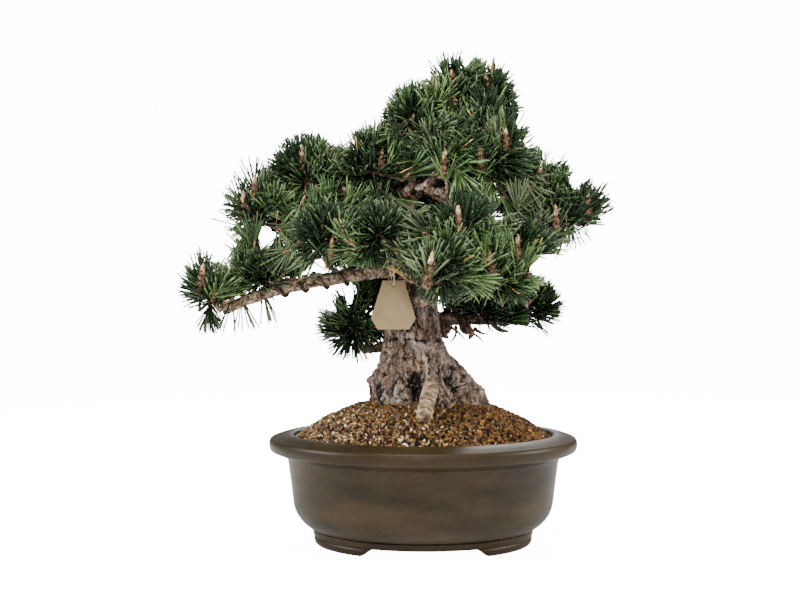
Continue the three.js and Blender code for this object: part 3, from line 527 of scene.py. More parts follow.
# what both barks share: the part of a step over which its edge lifts and the light left there as painted shade,
# the light of fibres, what cracks and the two sets of lines take away, and where cracks are let in
barkShade = {"edge": 0.2, "edgeLight": 0.2, "fibre": (2.6, 0.45), "crack": 0.85, "lines": (0.8, 0.65),
             "breakSize": 19, "breaks": (0.3, 0.5), "middle": 0.45, "bendSize": 12}
root = {"rows": [(14, 4, 180, 6), (12, -7, 170, 7.2), (9, -25, 160.5, 7.4), (4, -48, 149, 7.7), (-1, -69, 130, 7.8)],
        "rings": 21, "ringDeep": 0.72, "ringWide": 0.17,
        "bent": 0.9, "uneven": 1.4, "grain": 0.5, "dark": 0.85, "drawIn": 1.2, "drawFrom": 0.965, "around": 72,
        "along": 200}
boughs = {
    "left_low": [(-14, 2, 272, 8.5), (-45, -6, 270, 7.8), (-77, -12, 264, 7), (-122, -18, 256, 6.8),
                 (-165, -21, 244, 6.2), (-196, -23, 230, 4.8)],
    "left_upper": [(-19, 3, 328, 7), (-45, 0, 341, 6), (-78, -2, 341, 5.2), (-108, -3, 336, 4.6), (-138, -4, 328, 3.6)],
    "left_front": [(-16, -4, 292, 6.5), (-36, -27, 298, 5.5), (-60, -42, 296, 4.6), (-80, -50, 292, 4)],
    "left_back": [(-14, 14, 205, 7), (-42, 28, 193, 5.5), (-62, 40, 189, 4.5)],
    "top_left": [(8, 2, 362, 6), (0, -8, 384, 4.8), (-8, -13, 400, 4)],
    "upper_right": [(26, 2, 398, 5), (44, -12, 388, 4.4), (56, -20, 382, 3.8)],
    "right_mid": [(-6, -2, 278, 7.5), (20, -14, 283, 6.8), (52, -20, 288, 6), (85, -20, 300, 5.4),
                  (112, -14, 312, 4.6)],
    "right_shoulder": [(84, -20, 299, 5), (88, -6, 318, 4.6), (100, 4, 336, 4)],
    "right_low": [(0, 8, 222, 8), (28, 18, 222, 7), (60, 28, 221, 6), (88, 36, 219, 5)],
    "right_front": [(-12, -8, 300, 6), (8, -30, 303, 5), (20, -46, 305, 4.2)],
    "right_front_low": [(0, -10, 252, 6), (26, -32, 250, 5), (48, -44, 252, 4.2)],
    "front": [(-6, -10, 238, 7), (4, -42, 244, 5.6), (9, -62, 250, 4.6)],
    "back": [(-16, 10, 288, 7), (-10, 40, 288, 6), (0, 62, 287, 5)],
    "back_right_low": [(-6, 8, 262, 6), (30, 38, 268, 5), (55, 60, 274, 4.4)],
    "back_left": [(-20, 8, 312, 6.5), (-48, 30, 322, 5.4), (-74, 44, 326, 4.4)],
    "back_right": [(0, 8, 355, 6), (32, 34, 342, 5.2), (72, 46, 338, 4.4), (96, 50, 340, 3.8)],
}
shadedBoughs = ["right_low", "left_back"]
# ragged stubs under a low bough, and the bare forks that show in the crown's window
stubs = [[(18, 14, 222, 4.5), (23, 12, 213, 6.2), (22, 10, 206, 4.2), (26, 9, 202, 1.0)],
         [(40, 17, 220, 5), (44, 13, 212, 6.6), (49, 12, 207, 4), (47, 12, 201, 1.0)],
         [(28, 12, 214, 1.5), (36, 9, 208, 1.2), (43, 8, 200, 0.6)],
         [(34, 14, 214, 1.6), (33, 10, 205, 1.2), (28, 9, 198, 0.6)],
         [(52, 14, 212, 2.4), (58, 12, 208, 1.6), (66, 10, 206, 0.7)],
         [(50, 13, 208, 1.4), (58, 10, 202, 1), (61, 9, 197, 0.5)],
         [(72, 22, 216, 3), (80, 20, 210, 2.4), (88, 18, 209, 1.0)]]
forkLimbs = [[(-34, -26, 362, 1.8), (-20, -30, 362, 2.8), (-11, -31, 358, 3.4), (-14, -29, 350, 3.8),
              (-22, -24, 340, 4.6), (-26, -16, 326, 5)],
             [(-8, -28, 349, 3), (0, -31, 351, 3.8), (6, -32, 356, 3.4), (11, -32, 366, 2.8), (10, -29, 375, 2.4),
              (1, -28, 379, 1.8)],
             [(-2, -30, 352, 3.4), (5, -33, 347, 3.8), (14, -33, 345, 4), (23, -31, 348, 3), (28, -28, 354, 1.8)],
             [(14, -32, 346, 3.4), (20, -32, 340, 3), (30, -30, 337, 2.2)]]


# Bark: noise cut into steps makes flakes with a lifted edge, fine stretched noise makes fibres, the borders
# of stretched cells make long cracks where another noise allows them, and a coarse noise makes lumps
def barkRelief(points, look, seed):
    bend = np.stack([layeredNoise(points / barkShade["bendSize"], 2, seed + n) for n in (11, 12, 13)], 1)
    bent = points + (bend - 0.5) * look["bend"]
    level = layeredNoise(bent / np.array(look["flake"]), 3, seed) * look["steps"]
    part = level - np.floor(level)
    edge = ramp(part, 0.0, barkShade["edge"])
    fibre = layeredNoise(bent / np.array(look["fibre"]), 3, seed + 5)
    near, second = cellNoise(bent / np.array(look["cell"]), seed + 9)
    crack = 1 - ramp(second - near, 0.0, look["crackWide"])
    crack = crack * ramp(softNoise(points / barkShade["breakSize"], seed + 13), *barkShade["breaks"])
    lump = layeredNoise(points / look["lump"], 3, seed + 21)
    lines = [np.exp(-(((layeredNoise(bent / np.array(size), 2, seed + 31 + n) - 0.5) / width) ** 2))
             for n, (size, width) in enumerate(look["lines"])]
    high = look["flakeHigh"] * ((1 - part) * edge - barkShade["middle"]) + look["fibreHigh"] * (fibre - 0.5)
    high += look["lumpHigh"] * (lump - 0.5) - look["crackDeep"] * crack - look["lineDeep"] * (lines[0] + 0.5 * lines[1])
    sharp, least = barkShade["fibre"]
    # painted shade: the rise up to each flake's lifted edge is darkened
    light = barkShade["edgeLight"] + (1 - barkShade["edgeLight"]) * edge
    shade = np.clip(light * (sharp * fibre - least) * (1 - barkShade["crack"] * crack), 0, 1)
    return high, shade * (1 - barkShade["lines"][0] * lines[0]) * (1 - barkShade["lines"][1] * lines[1])


# Ribs: each stands out by a cosine bell round the trunk times one up and down it
def ribRelief(turn, z):
    total = np.zeros(len(z))
    for angle, wide, middle, tall, high in trunk["ribs"]:
        away = (turn - angle + np.pi) % (2 * np.pi) - np.pi
        across = np.clip(1 - (away / wide) ** 2 / 2, 0, 1) ** 2
        total = total + high * across * np.clip(1 - ((z - middle) / tall) ** 2, 0, 1)
    return total


# Trunk: ovals round the middle line, wider on six lobes at the flare, level below and square to it above
def trunkGrid(shares, angles):
    rows = trunk["rows"]
    middle, tangents = curvePoints(rows, shares), curveTangents(rows, shares)
    turned = np.clip((middle[:, 2:] - trunk["levelTop"]) / trunk["levelOver"], 0, 1)
    tangents = unit(tangents * turned + upward * (1 - turned))
    across = unit(np.cross(np.array([0.0, 1.0, 0.0]), tangents))
    deep = np.cross(tangents, across)
    flare = np.clip((trunk["flareTop"] - middle[:, 2]) / trunk["flareOver"], 0, 1)[:, None]
    high, count, start = trunk["lobes"]
    lowHigh, lowCount, turning = trunk["turning"]
    lobe = 1 + high * flare * np.cos(count * angles + start)
    lobe = lobe + lowHigh * np.cos(lowCount * angles + middle[:, 2:] * turning)
    x = (rowSizes(rows, shares)[:, None] * lobe * np.cos(angles))[..., None]
    y = (rowSizes(rows, shares, 4)[:, None] * lobe * np.sin(angles))[..., None]
    return middle[:, None] + across[:, None] * x + deep[:, None] * y, unit(waysRound(across, deep, angles))


# The trunk's surface moved out by bark, ribs and a ledge across the waist, with painted shade in the ledge's
# groove and the hollows between ribs; its top is a piece of its own
def makeTrunk():
    angles, shares = evenAngles(trunk["around"]), np.linspace(0, 1, trunk["along"])
    grid, out = trunkGrid(shares, angles)
    points = grid.reshape(-1, 3)
    size = np.clip(np.repeat(rowSizes(trunk["rows"], shares), len(angles)) / trunk["fullBark"], 0.3, 1.1)
    high, shade = barkRelief(points, barkLook["trunk"], trunk["seed"])
    ribs = ribRelief(np.tile(angles, len(shares)), points[:, 2])
    ledgeLine = trunk["ledge"] + trunk["ledgeWave"] * (layeredNoise(points / 22, 2, 41) - 0.5)
    ledge = np.exp(-((points[:, 2] - ledgeLine) / trunk["ledgeHigh"]) ** 2) * (points[:, 1] < 6)
    ledge = ledge * ramp(softNoise(points / 13, 43), 0.3, 0.6)
    push = high * size + ribs - trunk["ledgeDeep"] * ledge
    # painted shade: darker in the ledge's groove and in the hollows between ribs
    shade = shade - trunk["ledgeShade"] * ledge - trunk["hollowShade"] * np.clip(-ribs, 0, 6)
    shade = np.clip(shade, 0, 1).reshape(grid.shape[:2])
    grid = (points + out.reshape(-1, 3) * push[:, None]).reshape(grid.shape)
    split = int(np.argmax(curvePoints(trunk["rows"], shares)[:, 2] > trunk["paleFrom"]))
    for name, finish, part in (("trunkBark", "bark", slice(0, split + 1)), ("trunkTop", "limb", slice(split, None))):
        shell = Shell()
        shell.addGrid(grid[part], shade[part])
        shell.piece(name, materials[finish], "bark", ["trunk"])
    # the forks take the pale finish: their own pale bark, lightened further as painted light where the crown shades
    # them
    forks = Shell()
    for n, rows in enumerate(forkLimbs):
        addLimb(forks, rows, 371 + n)
    forks.piece("forkBark", materials["pale"], "bark", ["trunk"])


# Limb: circles square to the middle line, with the radius from the rows
def limbGrid(rows, rings, sides):
    shares = np.linspace(0, 1, rings)
    out = waysRound(*carriedAxes(curveTangents(rows, shares)), evenAngles(sides))
    return curvePoints(rows, shares)[:, None] + out * rowSizes(rows, shares)[:, None, None], out


# Root: a limb whose rings dip by bells along its length, bent by noise, and which draws in at its foot
def makeRoot():
    grid, out = limbGrid(root["rows"], root["along"], root["around"])
    shares = np.linspace(0, 1, root["along"])[:, None]
    points = grid.reshape(-1, 3)
    noise = (layeredNoise(points / 9, 3, 61) - 0.5).reshape(grid.shape[:2])
    place = np.mod(shares * root["rings"] + root["bent"] * noise, 1)
    ringDip = np.exp(-((place - 0.5) / root["ringWide"]) ** 2)
    grain = (layeredNoise(points / 2, 2, 63) - 0.5).reshape(grid.shape[:2])
    push = root["uneven"] * noise - root["ringDeep"] * ringDip + root["grain"] * grain
    grid = grid + out * (push - root["drawIn"] * (1 - ramp(shares, 1.0, root["drawFrom"])))[..., None]
    shell = Shell()
    shell.addGrid(grid, np.clip(1 - root["dark"] * ringDip + 0.3 * grain, 0, 1))
    shell.piece("rootSkin", materials["root"], "root", ["front_root"])


# A limb with its bark pushed out, less on thin ends
def addLimb(shell, rows, seed, around=26, step=1.1):
    length = sum(np.linalg.norm(np.subtract(a[:3], b[:3])) for a, b in zip(rows, rows[1:]))
    rings = int(length / step)
    grid, out = limbGrid(rows, rings, around)
    points = grid.reshape(-1, 3)
    thick = np.repeat(rowSizes(rows, np.linspace(0, 1, rings)), around)
    high, shade = barkRelief(points, barkLook["limb"], seed)
    grid = (points + out.reshape(-1, 3) * (high * np.clip(thick / 6, 0.3, 1))[:, None]).reshape(grid.shape)
    shell.addGrid(grid, shade.reshape(grid.shape[:2]))


makeTrunk()
makeRoot()
say("trunk and root")


# Foliage follows the source's rule, carried to finer shoots
# each mass: its limb, the share along it where the mass's stem leaves, its middle and its half sizes
masses = {
    "left_tip": ("left_low", 1, (-207, -25, 246), (30, 31, 41)),
    "left_low": ("left_low", 0.74, (-158, -20, 264), (42, 34, 32)),
    "left_upper_tip": ("left_upper", 1, (-164, -5, 328), (37, 34, 33)),
    "left_upper": ("left_upper", 0.68, (-115, -2, 363), (42, 42, 43)),
    "left_front": ("left_front", 1, (-93, -55, 300), (34, 32, 32)),
    "centre_front": ("left_front", 0.6, (-42, -70, 301), (31, 30, 34)),
    "upper_left": ("trunk", 0.66, (-56, -28, 365), (39, 34, 43)),
    "top_left": ("top_left", 1, (-5, -15, 414), (37, 36, 42)),
    "apex": ("trunk", 1, (30, 0, 446), (34, 34, 40)),
    "apex_right": ("trunk", 0.91, (64, 3, 439), (31, 34, 44)),
    "upper_front": ("trunk", 0.82, (21, -43, 386), (26, 24, 27)),
    "upper_right": ("upper_right", 1, (66, -25, 386), (43, 38, 44)),
    "right_shoulder": ("right_shoulder", 1, (118, 8, 358), (35, 34, 36)),
    "right_far": ("right_mid", 1, (148, -8, 324), (44, 36, 33)),
    "right_mid": ("right_mid", 0.74, (90, -38, 288), (38, 34, 32)),
    "right_front": ("right_front", 1, (32, -62, 311), (39, 34, 32)),
    "right_front_low": ("right_front_low", 1, (70, -54, 264), (40, 32, 30)),
    "front": ("front", 1, (14, -84, 267), (33, 32, 32)),
    "right_low": ("right_low", 0.62, (64, 34, 234), (36, 32, 30)),
    "right_low_tip": ("right_low", 1, (114, 38, 235), (34, 32, 33)),
    "left_back_low": ("left_back", 1, (-73, 46, 215), (34, 34, 35)),
    "left_back": ("trunk", 0.36, (-47, 44, 245), (27, 30, 29)),
    "back_left": ("back_left", 1, (-94, 54, 332), (38, 34, 36)),
    "back_left_low": ("back", 0.7, (-56, 80, 290), (33, 31, 28)),
    "back_low": ("back", 1, (6, 88, 284), (38, 32, 34)),
    "back_right_low": ("back_right_low", 1, (78, 76, 280), (36, 32, 29)),
    "back_mid": ("trunk", 0.64, (-26, 64, 354), (38, 35, 41)),
    "back_right": ("back_right", 1, (122, 52, 344), (31, 30, 33)),
    "back_centre": ("back_right", 0.45, (42, 70, 338), (29, 30, 33)),
    "back_top": ("trunk", 0.88, (38, 46, 408), (34, 33, 37)),
}
tagRoom = np.array([(-57, -64, 206), (-5, -24, 262)])  # kept free of needles
growth = {"crease": 4.5, "area": 172, "spread": 0.52, "lift": 0.3, "lowest": 1.85,
          "turn": math.pi * (3 - math.sqrt(5)), "gap": 0.45, "hub": 0.12, "bend": 0.12, "fewest": 5, "clear": 1.8,
          "turnByMass": 1.7, "innerShare": 0.5, "uneven": (0.9, 0.2), "leave": (0.7, 0.27)}
massNames = list(masses)
massMiddles, massHalves = (np.array([mass[n] for mass in masses.values()], float) for n in (2, 3))


# The part after the point of a large sine, as in the source
def chance(a, b):
    s = np.sin(a * 12.9898 + b * 78.233) * 43758.5453
    return s - np.floor(s)


# Stem of a mass: from its limb, a little beyond the tip or on the middle line, to its hub
def stemRows(name):
    limbName, along, middle, _ = masses[name]
    rows = trunk["rows"] if limbName == "trunk" else boughs[limbName]
    start, tangent = (calc(rows, np.array([float(along)]))[0] for calc in (curvePoints, curveTangents))
    if along == 1:
        start = start + tangent * growth["gap"]
    hub = np.array(middle, float) * (1 - growth["hub"]) + start * growth["hub"]
    bend = (start + hub) / 2 + tangent * (growth["bend"] if along == 1 else 0) * np.linalg.norm(hub - start)
    return [(*start, 3 if along == 1 else 2.8), (*bend, 2.3), (*hub, 1.6)]


stems = {name: stemRows(name) for name in massNames}


# Hard lengths that needles keep clear of: two to each span of every limb and stem
def hardLengths():
    found = []
    listed = [(trunk["rows"], -1, 0), (root["rows"], -1, 0)]
    listed += [(rows, -1, 2.8 if name == "left_low" else 0.2) for name, rows in boughs.items()]
    listed += [(stems[name], m, 0.2) for m, name in enumerate(massNames)]
    for rows, owner, extra in listed:
        shares = np.linspace(0, 1, (len(rows) - 1) * 2 + 1)
        places = curvePoints(rows, shares)
        sizes = np.max([rowSizes(rows, shares, column) for column in range(3, len(rows[0]))], axis=0)
        for i in range(len(shares) - 1):
            found.append((places[i], places[i + 1], max(sizes[i], sizes[i + 1]) * 1.02 + extra, owner))
    return found


hard = hardLengths()


# How deep each point lies in each mass: 0 at the middle and 1 on the skin
def massDepths(points):
    return np.stack([np.linalg.norm((points - middle) / half, axis=1) for middle, half in zip(massMiddles, massHalves)])


# Crown space: 1 on the skin of a lone mass, more inside it and in the creases between neighbours
def crownSpace(points):
    return np.exp(-growth["crease"] * (massDepths(points) - 1)).sum(0)


# True where a point is clear of limbs, stems and the tag
def isClear(points, clear, mass=-2):
    free = ~((points > tagRoom[0]).all(1) & (points < tagRoom[1]).all(1))
    for a, b, radius, owner in hard:
        line = b - a
        along = np.clip((points - a) @ line / (line @ line), 0, 1)
        gap = np.linalg.norm(points - a - along[:, None] * line, axis=1)
        free &= (gap > radius + clear) | (mass == owner)
    return free


# The source's own test for a spray: its mass's space, clear of the neighbours' spaces and of all limbs
def isFree(points, mass, clear):
    depths = massDepths(points)
    own = depths[mass, np.arange(len(mass))]
    apart = (depths - own > 0.05) | (np.arange(len(massNames))[:, None] == mass)
    return (own <= 1) & apart.all(0) & isClear(points, clear, mass)


# Where the sprays of all masses sit, dealt evenly over each space by the golden angle, as in the source
def sprayPlaces():
    listed = {key: [] for key in ("mass", "base", "axis", "seed", "root")}
    for m, name in enumerate(massNames):
        count = max(growth["fewest"], math.floor(massHalves[m].mean() ** 2 / growth["area"] + 0.5))
        k = np.arange(count)
        seed = (m + 1) * 100 + k
        up = 1 - growth["lowest"] * (k + 0.5) / count
        a = k * growth["turn"] + (m + 1) * growth["turnByMass"]
        flat = np.sqrt(1 - up**2)
        way = np.stack([flat * np.cos(a), flat * np.sin(a), up], 1)
        low, more = growth["uneven"]
        out = growth["spread"] * np.where(k % 5 == 3, growth["innerShare"], 1) * (low + more * chance(m + 1, k))
        low, more = growth["leave"]
        values = (np.full(count, m), massHalves[m] * way * out[:, None] + massMiddles[m],
                  unit(way + upward * growth["lift"]), seed, curvePoints(stems[name], low + more * chance(seed, 1)))
        for key, value in zip(listed, values):
            listed[key].append(value)
    sprays = {key: np.concatenate(value) for key, value in listed.items()}
    free = np.ones(len(sprays["mass"]), bool)
    for s in (0.4, 0.7, 1):
        free &= isFree(sprays["root"] * (1 - s) + sprays["base"] * s, sprays["mass"], growth["clear"])
    return {key: value[free] for key, value in sprays.items()}


# Two axes square to each way: cross products with up, or with X where a way is steep
def sideWays(axes):
    helper = np.where(np.abs(axes[:, 2:]) < 0.9, np.array([[0.0, 0, 1]]), np.array([[1.0, 0, 0]]))
    u = unit(np.cross(helper, axes))
    return u, np.cross(axes, u)


# A way leaning from its axis by an angle, turned round it by another
def leaned(axes, lean, turn):
    u, v = sideWays(axes)
    lean, turn = lean[:, None], turn[:, None]
    return axes * np.cos(lean) + np.sin(lean) * (u * np.cos(turn) + v * np.sin(turn))


shoots = {"lean": (0.7, 1.15), "beside": (0.62, 0.95), "length": (9, 14), "rise": 0.95, "hang": 0.3, "reach": 22,
          "edge": 0.95, "main": (9, 5), "level": -0.25, "vary": (0.6, 1.3), "backs": (0, 3, 6, 9, 12, 16),
          "clear": 1.2, "jitter": 0.5, "fillSpacing": 14, "fillLift": (0.9, 0.2), "fillClear": (3, 2),
          "fillTries": 60000, "fillReach": 34, "fillLength": (8, 12), "fillVary": (0.5, 1.3), "fillSpread": 0.15}


# Shoots: one goes on along each spray's axis and another branches beside it, both turning up;
# a shoot is drawn back along its twig until a needle at its tip would end inside the crown
def growShoots(sprays):
    count = len(sprays["mass"])
    grown = {key: [] for key in ("foot", "start", "way", "length")}
    inward = unit(sprays["base"] - sprays["root"])
    foot = sprays["root"] * 0.3 + sprays["base"] * 0.7
    for beside in (False, True):
        way, s = sprays["axis"], np.ones(count)
        if beside:
            turn = np.pi + sprays["seed"] + rng.uniform(-shoots["jitter"], shoots["jitter"], count)
            way = leaned(way, rng.uniform(*shoots["lean"], count), turn)
            s, length = rng.uniform(*shoots["beside"], count), rng.uniform(*shoots["length"], count)
        else:
            length = shoots["main"][0] + shoots["main"][1] * rng.random(count)
        lift = np.where(sprays["axis"][:, 2] > shoots["level"], shoots["rise"], shoots["hang"])
        lift = lift * rng.uniform(*shoots["vary"], count)
        way = unit(way + upward * lift[:, None])
        start = sprays["root"] * (1 - s[:, None]) + sprays["base"] * s[:, None]
        placed = np.zeros(count, bool)
        for back in shoots["backs"]:
            tried = start - way * back * 0.5 - inward * back * 0.5
            end = tried + way * length[:, None]
            inside = crownSpace(end + way * shoots["reach"]) > shoots["edge"]
            fits = ~placed & inside & isClear(end, shoots["clear"])
            placed |= fits
            for key, value in zip(grown, (foot, tried, way, length)):
                grown[key].append(value[fits])
    return {key: np.concatenate(value) for key, value in grown.items()}


# Finer shoots fill what is left: scattered bud places are kept a set distance apart, and each grows
# from the nearest spray or stem, away from the middle of the mass it belongs to, and up
def addFillers(grown, sprays):
    stemParts = [curvePoints(rows, np.linspace(0.3, 1, 6)) for rows in stems.values()]
    joints = np.vstack([sprays["base"], sprays["root"]] + stemParts)
    low, high = (massMiddles - massHalves).min(0), (massMiddles + massHalves).max(0)
    tips = rng.uniform(low, high, (shoots["fillTries"], 3))
    away = unit(tips - massMiddles[massDepths(tips).argmin(0)])
    lift = np.where(away[:, 2] > -0.3, *shoots["fillLift"]) * rng.uniform(*shoots["fillVary"], len(tips))
    way = unit(away + upward * lift[:, None] + rng.normal(0, shoots["fillSpread"], tips.shape))
    good = crownSpace(tips + way * shoots["reach"]) > shoots["edge"]
    good &= isClear(tips, shoots["fillClear"][0]) & isClear(tips - way * 8, shoots["fillClear"][1])
    tips, way = tips[good], way[good]
    taken = list(grown["start"] + grown["way"] * grown["length"][:, None])
    kept = []
    for i, tip in enumerate(tips):
        if np.min(np.sum((np.array(taken) - tip) ** 2, axis=1)) > shoots["fillSpacing"] ** 2:
            kept.append(i)
            taken.append(tip)
    tips, way = tips[kept], way[kept]
    length = rng.uniform(*shoots["fillLength"], len(tips))
    start = tips - way * length[:, None]
    gap = np.linalg.norm(joints[None] - start[:, None], axis=2)
    near = gap.min(1) < shoots["fillReach"]
    added = (joints[gap.argmin(1)], start, way, length)
    return {key: np.concatenate([value, more[near]]) for (key, value), more in zip(grown.items(), added)}


# The strong shoots seen from the front, by bud tip, and the sparse ones that hang under the boughs
strong = {
    "tips": [(-10, -20, 424), (-40, -35, 389), (-77, -30, 358), (-85, -65, 301), (29, 0, 474), (31, -15, 444),
             (63, 5, 470), (53, -50, 387), (77, -35, 409), (20, -50, 384), (119, 8, 379), (128, -25, 335),
             (163, -10, 349), (30, -75, 329), (59, -70, 288), (6, -105, 284), (88, -50, 304), (-213, -30, 277),
             (-120, -20, 392), (-167, -6, 366), (-178, -10, 350)],
    "bud": (10, 14), "shoot": (15, 22), "open": 0.25, "clear": (3.8, 12.5), "thick": 3.6, "budWide": 2.7,
    "bristles": 70, "bristle": (2.5, 5), "bristleLean": (0.5, 1.1), "spread": 0.12, "dropped": 0.3,
}
hanging = {
    "tips": [(-196, -26, 235), (-186, -25, 238), (-176, -23, 239), (-156, -20, 245)],
    "ways": [(-0.2, -0.2, -0.9), (0.0, -0.2, -1), (0.3, -0.1, -1), (0.2, 0, -1)],
    "length": 8, "every": 3, "lean": 0.5,
}
# shoots packed round the two low boughs behind the waist of the trunk, dark by painted shade
backing = {
    "right_low": [(22, 30, 240), (34, 34, 246), (44, 26, 238), (52, 38, 248), (26, 24, 228), (40, 40, 230),
                  (60, 30, 236), (72, 34, 226), (86, 30, 222), (98, 34, 226), (30, 44, 238), (50, 18, 232),
                  (68, 24, 226), (86, 30, 218), (28, 16, 232), (110, 40, 218)],
    "left_back": [(-84, 46, 212), (-75, 38, 228), (-66, 30, 238), (-62, 34, 250), (-48, 36, 258), (-78, 52, 214),
                  (-70, 40, 208), (-56, 34, 210), (-60, 28, 222), (-44, 34, 232), (-72, 26, 222), (-84, 56, 224),
                  (-66, 50, 240), (-38, 38, 246), (-50, 28, 218), (-66, 42, 200), (-76, 48, 203)],
}
packing = {"length": 9, "spread": 0.3, "rise": 0.35}


# The place nearest to each point on the curve through the rows
def nearestOn(rows, points):
    line = curvePoints(rows, np.linspace(0.1, 1, 30))
    return line[np.linalg.norm(line[None] - points[:, None], axis=2).argmin(1)]


# Packed shoots grow away from the middle of the nearest mass, strong ones up, hanging ones by their listed ways
def addSpecial(grown, sprays):
    tips, hangWays = np.array(strong["tips"], float), unit(np.array(hanging["ways"], float))
    way = unit(upward + rng.normal(0, strong["spread"], tips.shape))
    bud, length = rng.uniform(*strong["bud"], len(tips)), rng.uniform(*strong["shoot"], len(tips))
    packed = np.array([tip for listed in backing.values() for tip in listed], float)
    spread = unit(packed - massMiddles[massDepths(packed).argmin(0)])
    spread = unit(spread + rng.normal(0, packing["spread"], packed.shape) + upward * packing["rise"])
    starts = [tips - way * (bud + length)[:, None], np.array(hanging["tips"]) - hangWays * hanging["length"]]
    feet = [nearestOn(boughs[name], np.array(listed, float)) for name, listed in backing.items()]
    for start in starts:
        gap = np.linalg.norm(sprays["base"][None] - start[:, None] + upward * 3, axis=2)
        feet.append(sprays["base"][gap.argmin(1)])
    sizes = [len(grown["start"]), len(packed), len(tips), len(hangWays)]
    lengths = [np.full(sizes[1], packing["length"]), length, np.full(sizes[3], hanging["length"])]
    added = (feet, [packed - spread * packing["length"]] + starts, [spread, way, hangWays], lengths)
    grown = {key: np.concatenate([value] + more) for (key, value), more in zip(grown.items(), added)}
    grown["free"] = np.repeat([False, True, False, False], sizes)
    grown["hangs"] = np.repeat([False, False, False, True], sizes)
    grown["bud"] = np.concatenate([np.zeros(sizes[0] + sizes[1]), bud, np.zeros(sizes[3])])
    return grown


# Openings the crown shows from the front: middle x and z and half sizes on the plane through the trunk,
# each carried through the crown along the lines of sight from the place the tree is looked at
openings = [(-206, 290, 16, 12), (-197, 358, 9, 9), (-156, 305, 11, 9), (-105, 273, 14, 5), (-75, 252, 11, 7),
            (75, 326, 5.5, 8), (119, 275, 11, 12), (184, 307, 16, 8), (190, 325, 8, 14), (133, 388, 14, 8),
            (154, 362, 10, 9), (99, 420, 6, 10), (107, 400, 7, 9), (-230, 225, 10, 9), (77, 200, 25, 9),
            (-95, 237, 8, 8), (9, 478, 8, 7), (40, 200, 20, 10), (43, 485, 6, 10), (88, 484, 15, 13),
            (0, 469, 13, 6), (-84, 404, 16, 6), (98, 208, 22, 7), (-74, 244, 5, 13), (-53, 229, 9, 5)]
# windows show the wood behind: the same four numbers, and how far forward needles may stand there
windows = [((2, 350, 27, 12), -6), ((-186, 236, 20, 9), -25), ((-23, 269, 15, 7), -50)]


# Carried to that plane from the camera, is a point within an oval: squares of its shares of both half
# sizes add up to less than the limit
def isOpen(points, places, limit=1):
    scale = -cameraPlace["before"] / (points[:, 1] - cameraPlace["before"])
    x = cameraPlace["beside"] + (points[:, 0] - cameraPlace["beside"]) * scale
    z = cameraPlace["high"] + (points[:, 2] - cameraPlace["high"]) * scale
    hit = np.zeros(len(points), bool)
    for middleX, middleZ, wide, tall in places:
        hit |= ((x - middleX) / wide) ** 2 + ((z - middleZ) / tall) ** 2 < limit
    return hit


needles = {
    "look": {"scale": 70, "sharp": 2.5, "rough": 0.36},
    "each": 54, "length": (27, 37), "radius": 0.8, "footWide": 0.9, "neck": 0.9, "zone": (-0.35, 1.0), "leanLow": 0.95,
    "twist": 0.25, "tipShorter": 0.2, "unevenEdge": 0.08, "evenOver": 150, "evenLimits": (0.6, 1.8),
    "leanTip": 0.25, "leanSpread": 0.14, "pairSpread": 0.07, "bow": 0.02, "inner": 0.5, "shade": 0.35, "evenLevel": 345,
    "edge": (0.45, 1.0), "freeEdge": 0.3, "topBack": 0.35, "top": (430, 465), "tries": (1, 0.85, 0.72),
    "openEdge": (0.35, 1.15), "mixed": 0.12, "dry": 0.003, "mostInPiece": 19500, "shadedBelow": 262, "shadedBehind": 12,
    "tones": {
        # Deep is dealt at random and is also the painted shade inside the crown and low behind
        "Deep": {"dark": (0.006, 0.014, 0.005), "light": (0.016, 0.033, 0.012), "share": 0.20, "shine": 0.15},
        "Green": {"dark": (0.018, 0.040, 0.009), "light": (0.058, 0.110, 0.036), "share": 0.32, "shine": 0.3},
        "Fresh": {"dark": (0.040, 0.082, 0.016), "light": (0.116, 0.192, 0.058), "share": 0.27, "shine": 0.4},
        "Olive": {"dark": (0.040, 0.060, 0.020), "light": (0.118, 0.150, 0.070), "share": 0.23, "shine": 0.4},
        "Dry": {"dark": (0.30, 0.16, 0.04), "light": (0.55, 0.36, 0.12), "share": 0, "shine": 0.4},
    },
}
# dry needles caught on the left front bough, end to end
straws = np.array([(-37, -53, 275.4, -9, -53, 259.5), (-38, -53, 273.5, -11, -53, 257.7),
                   (-31, -53, 263, -20, -54, 275.4), (-20, -54, 275.4, -12, -54, 277.5),
                   (-38, -58, 272, -14, -56, 264)])


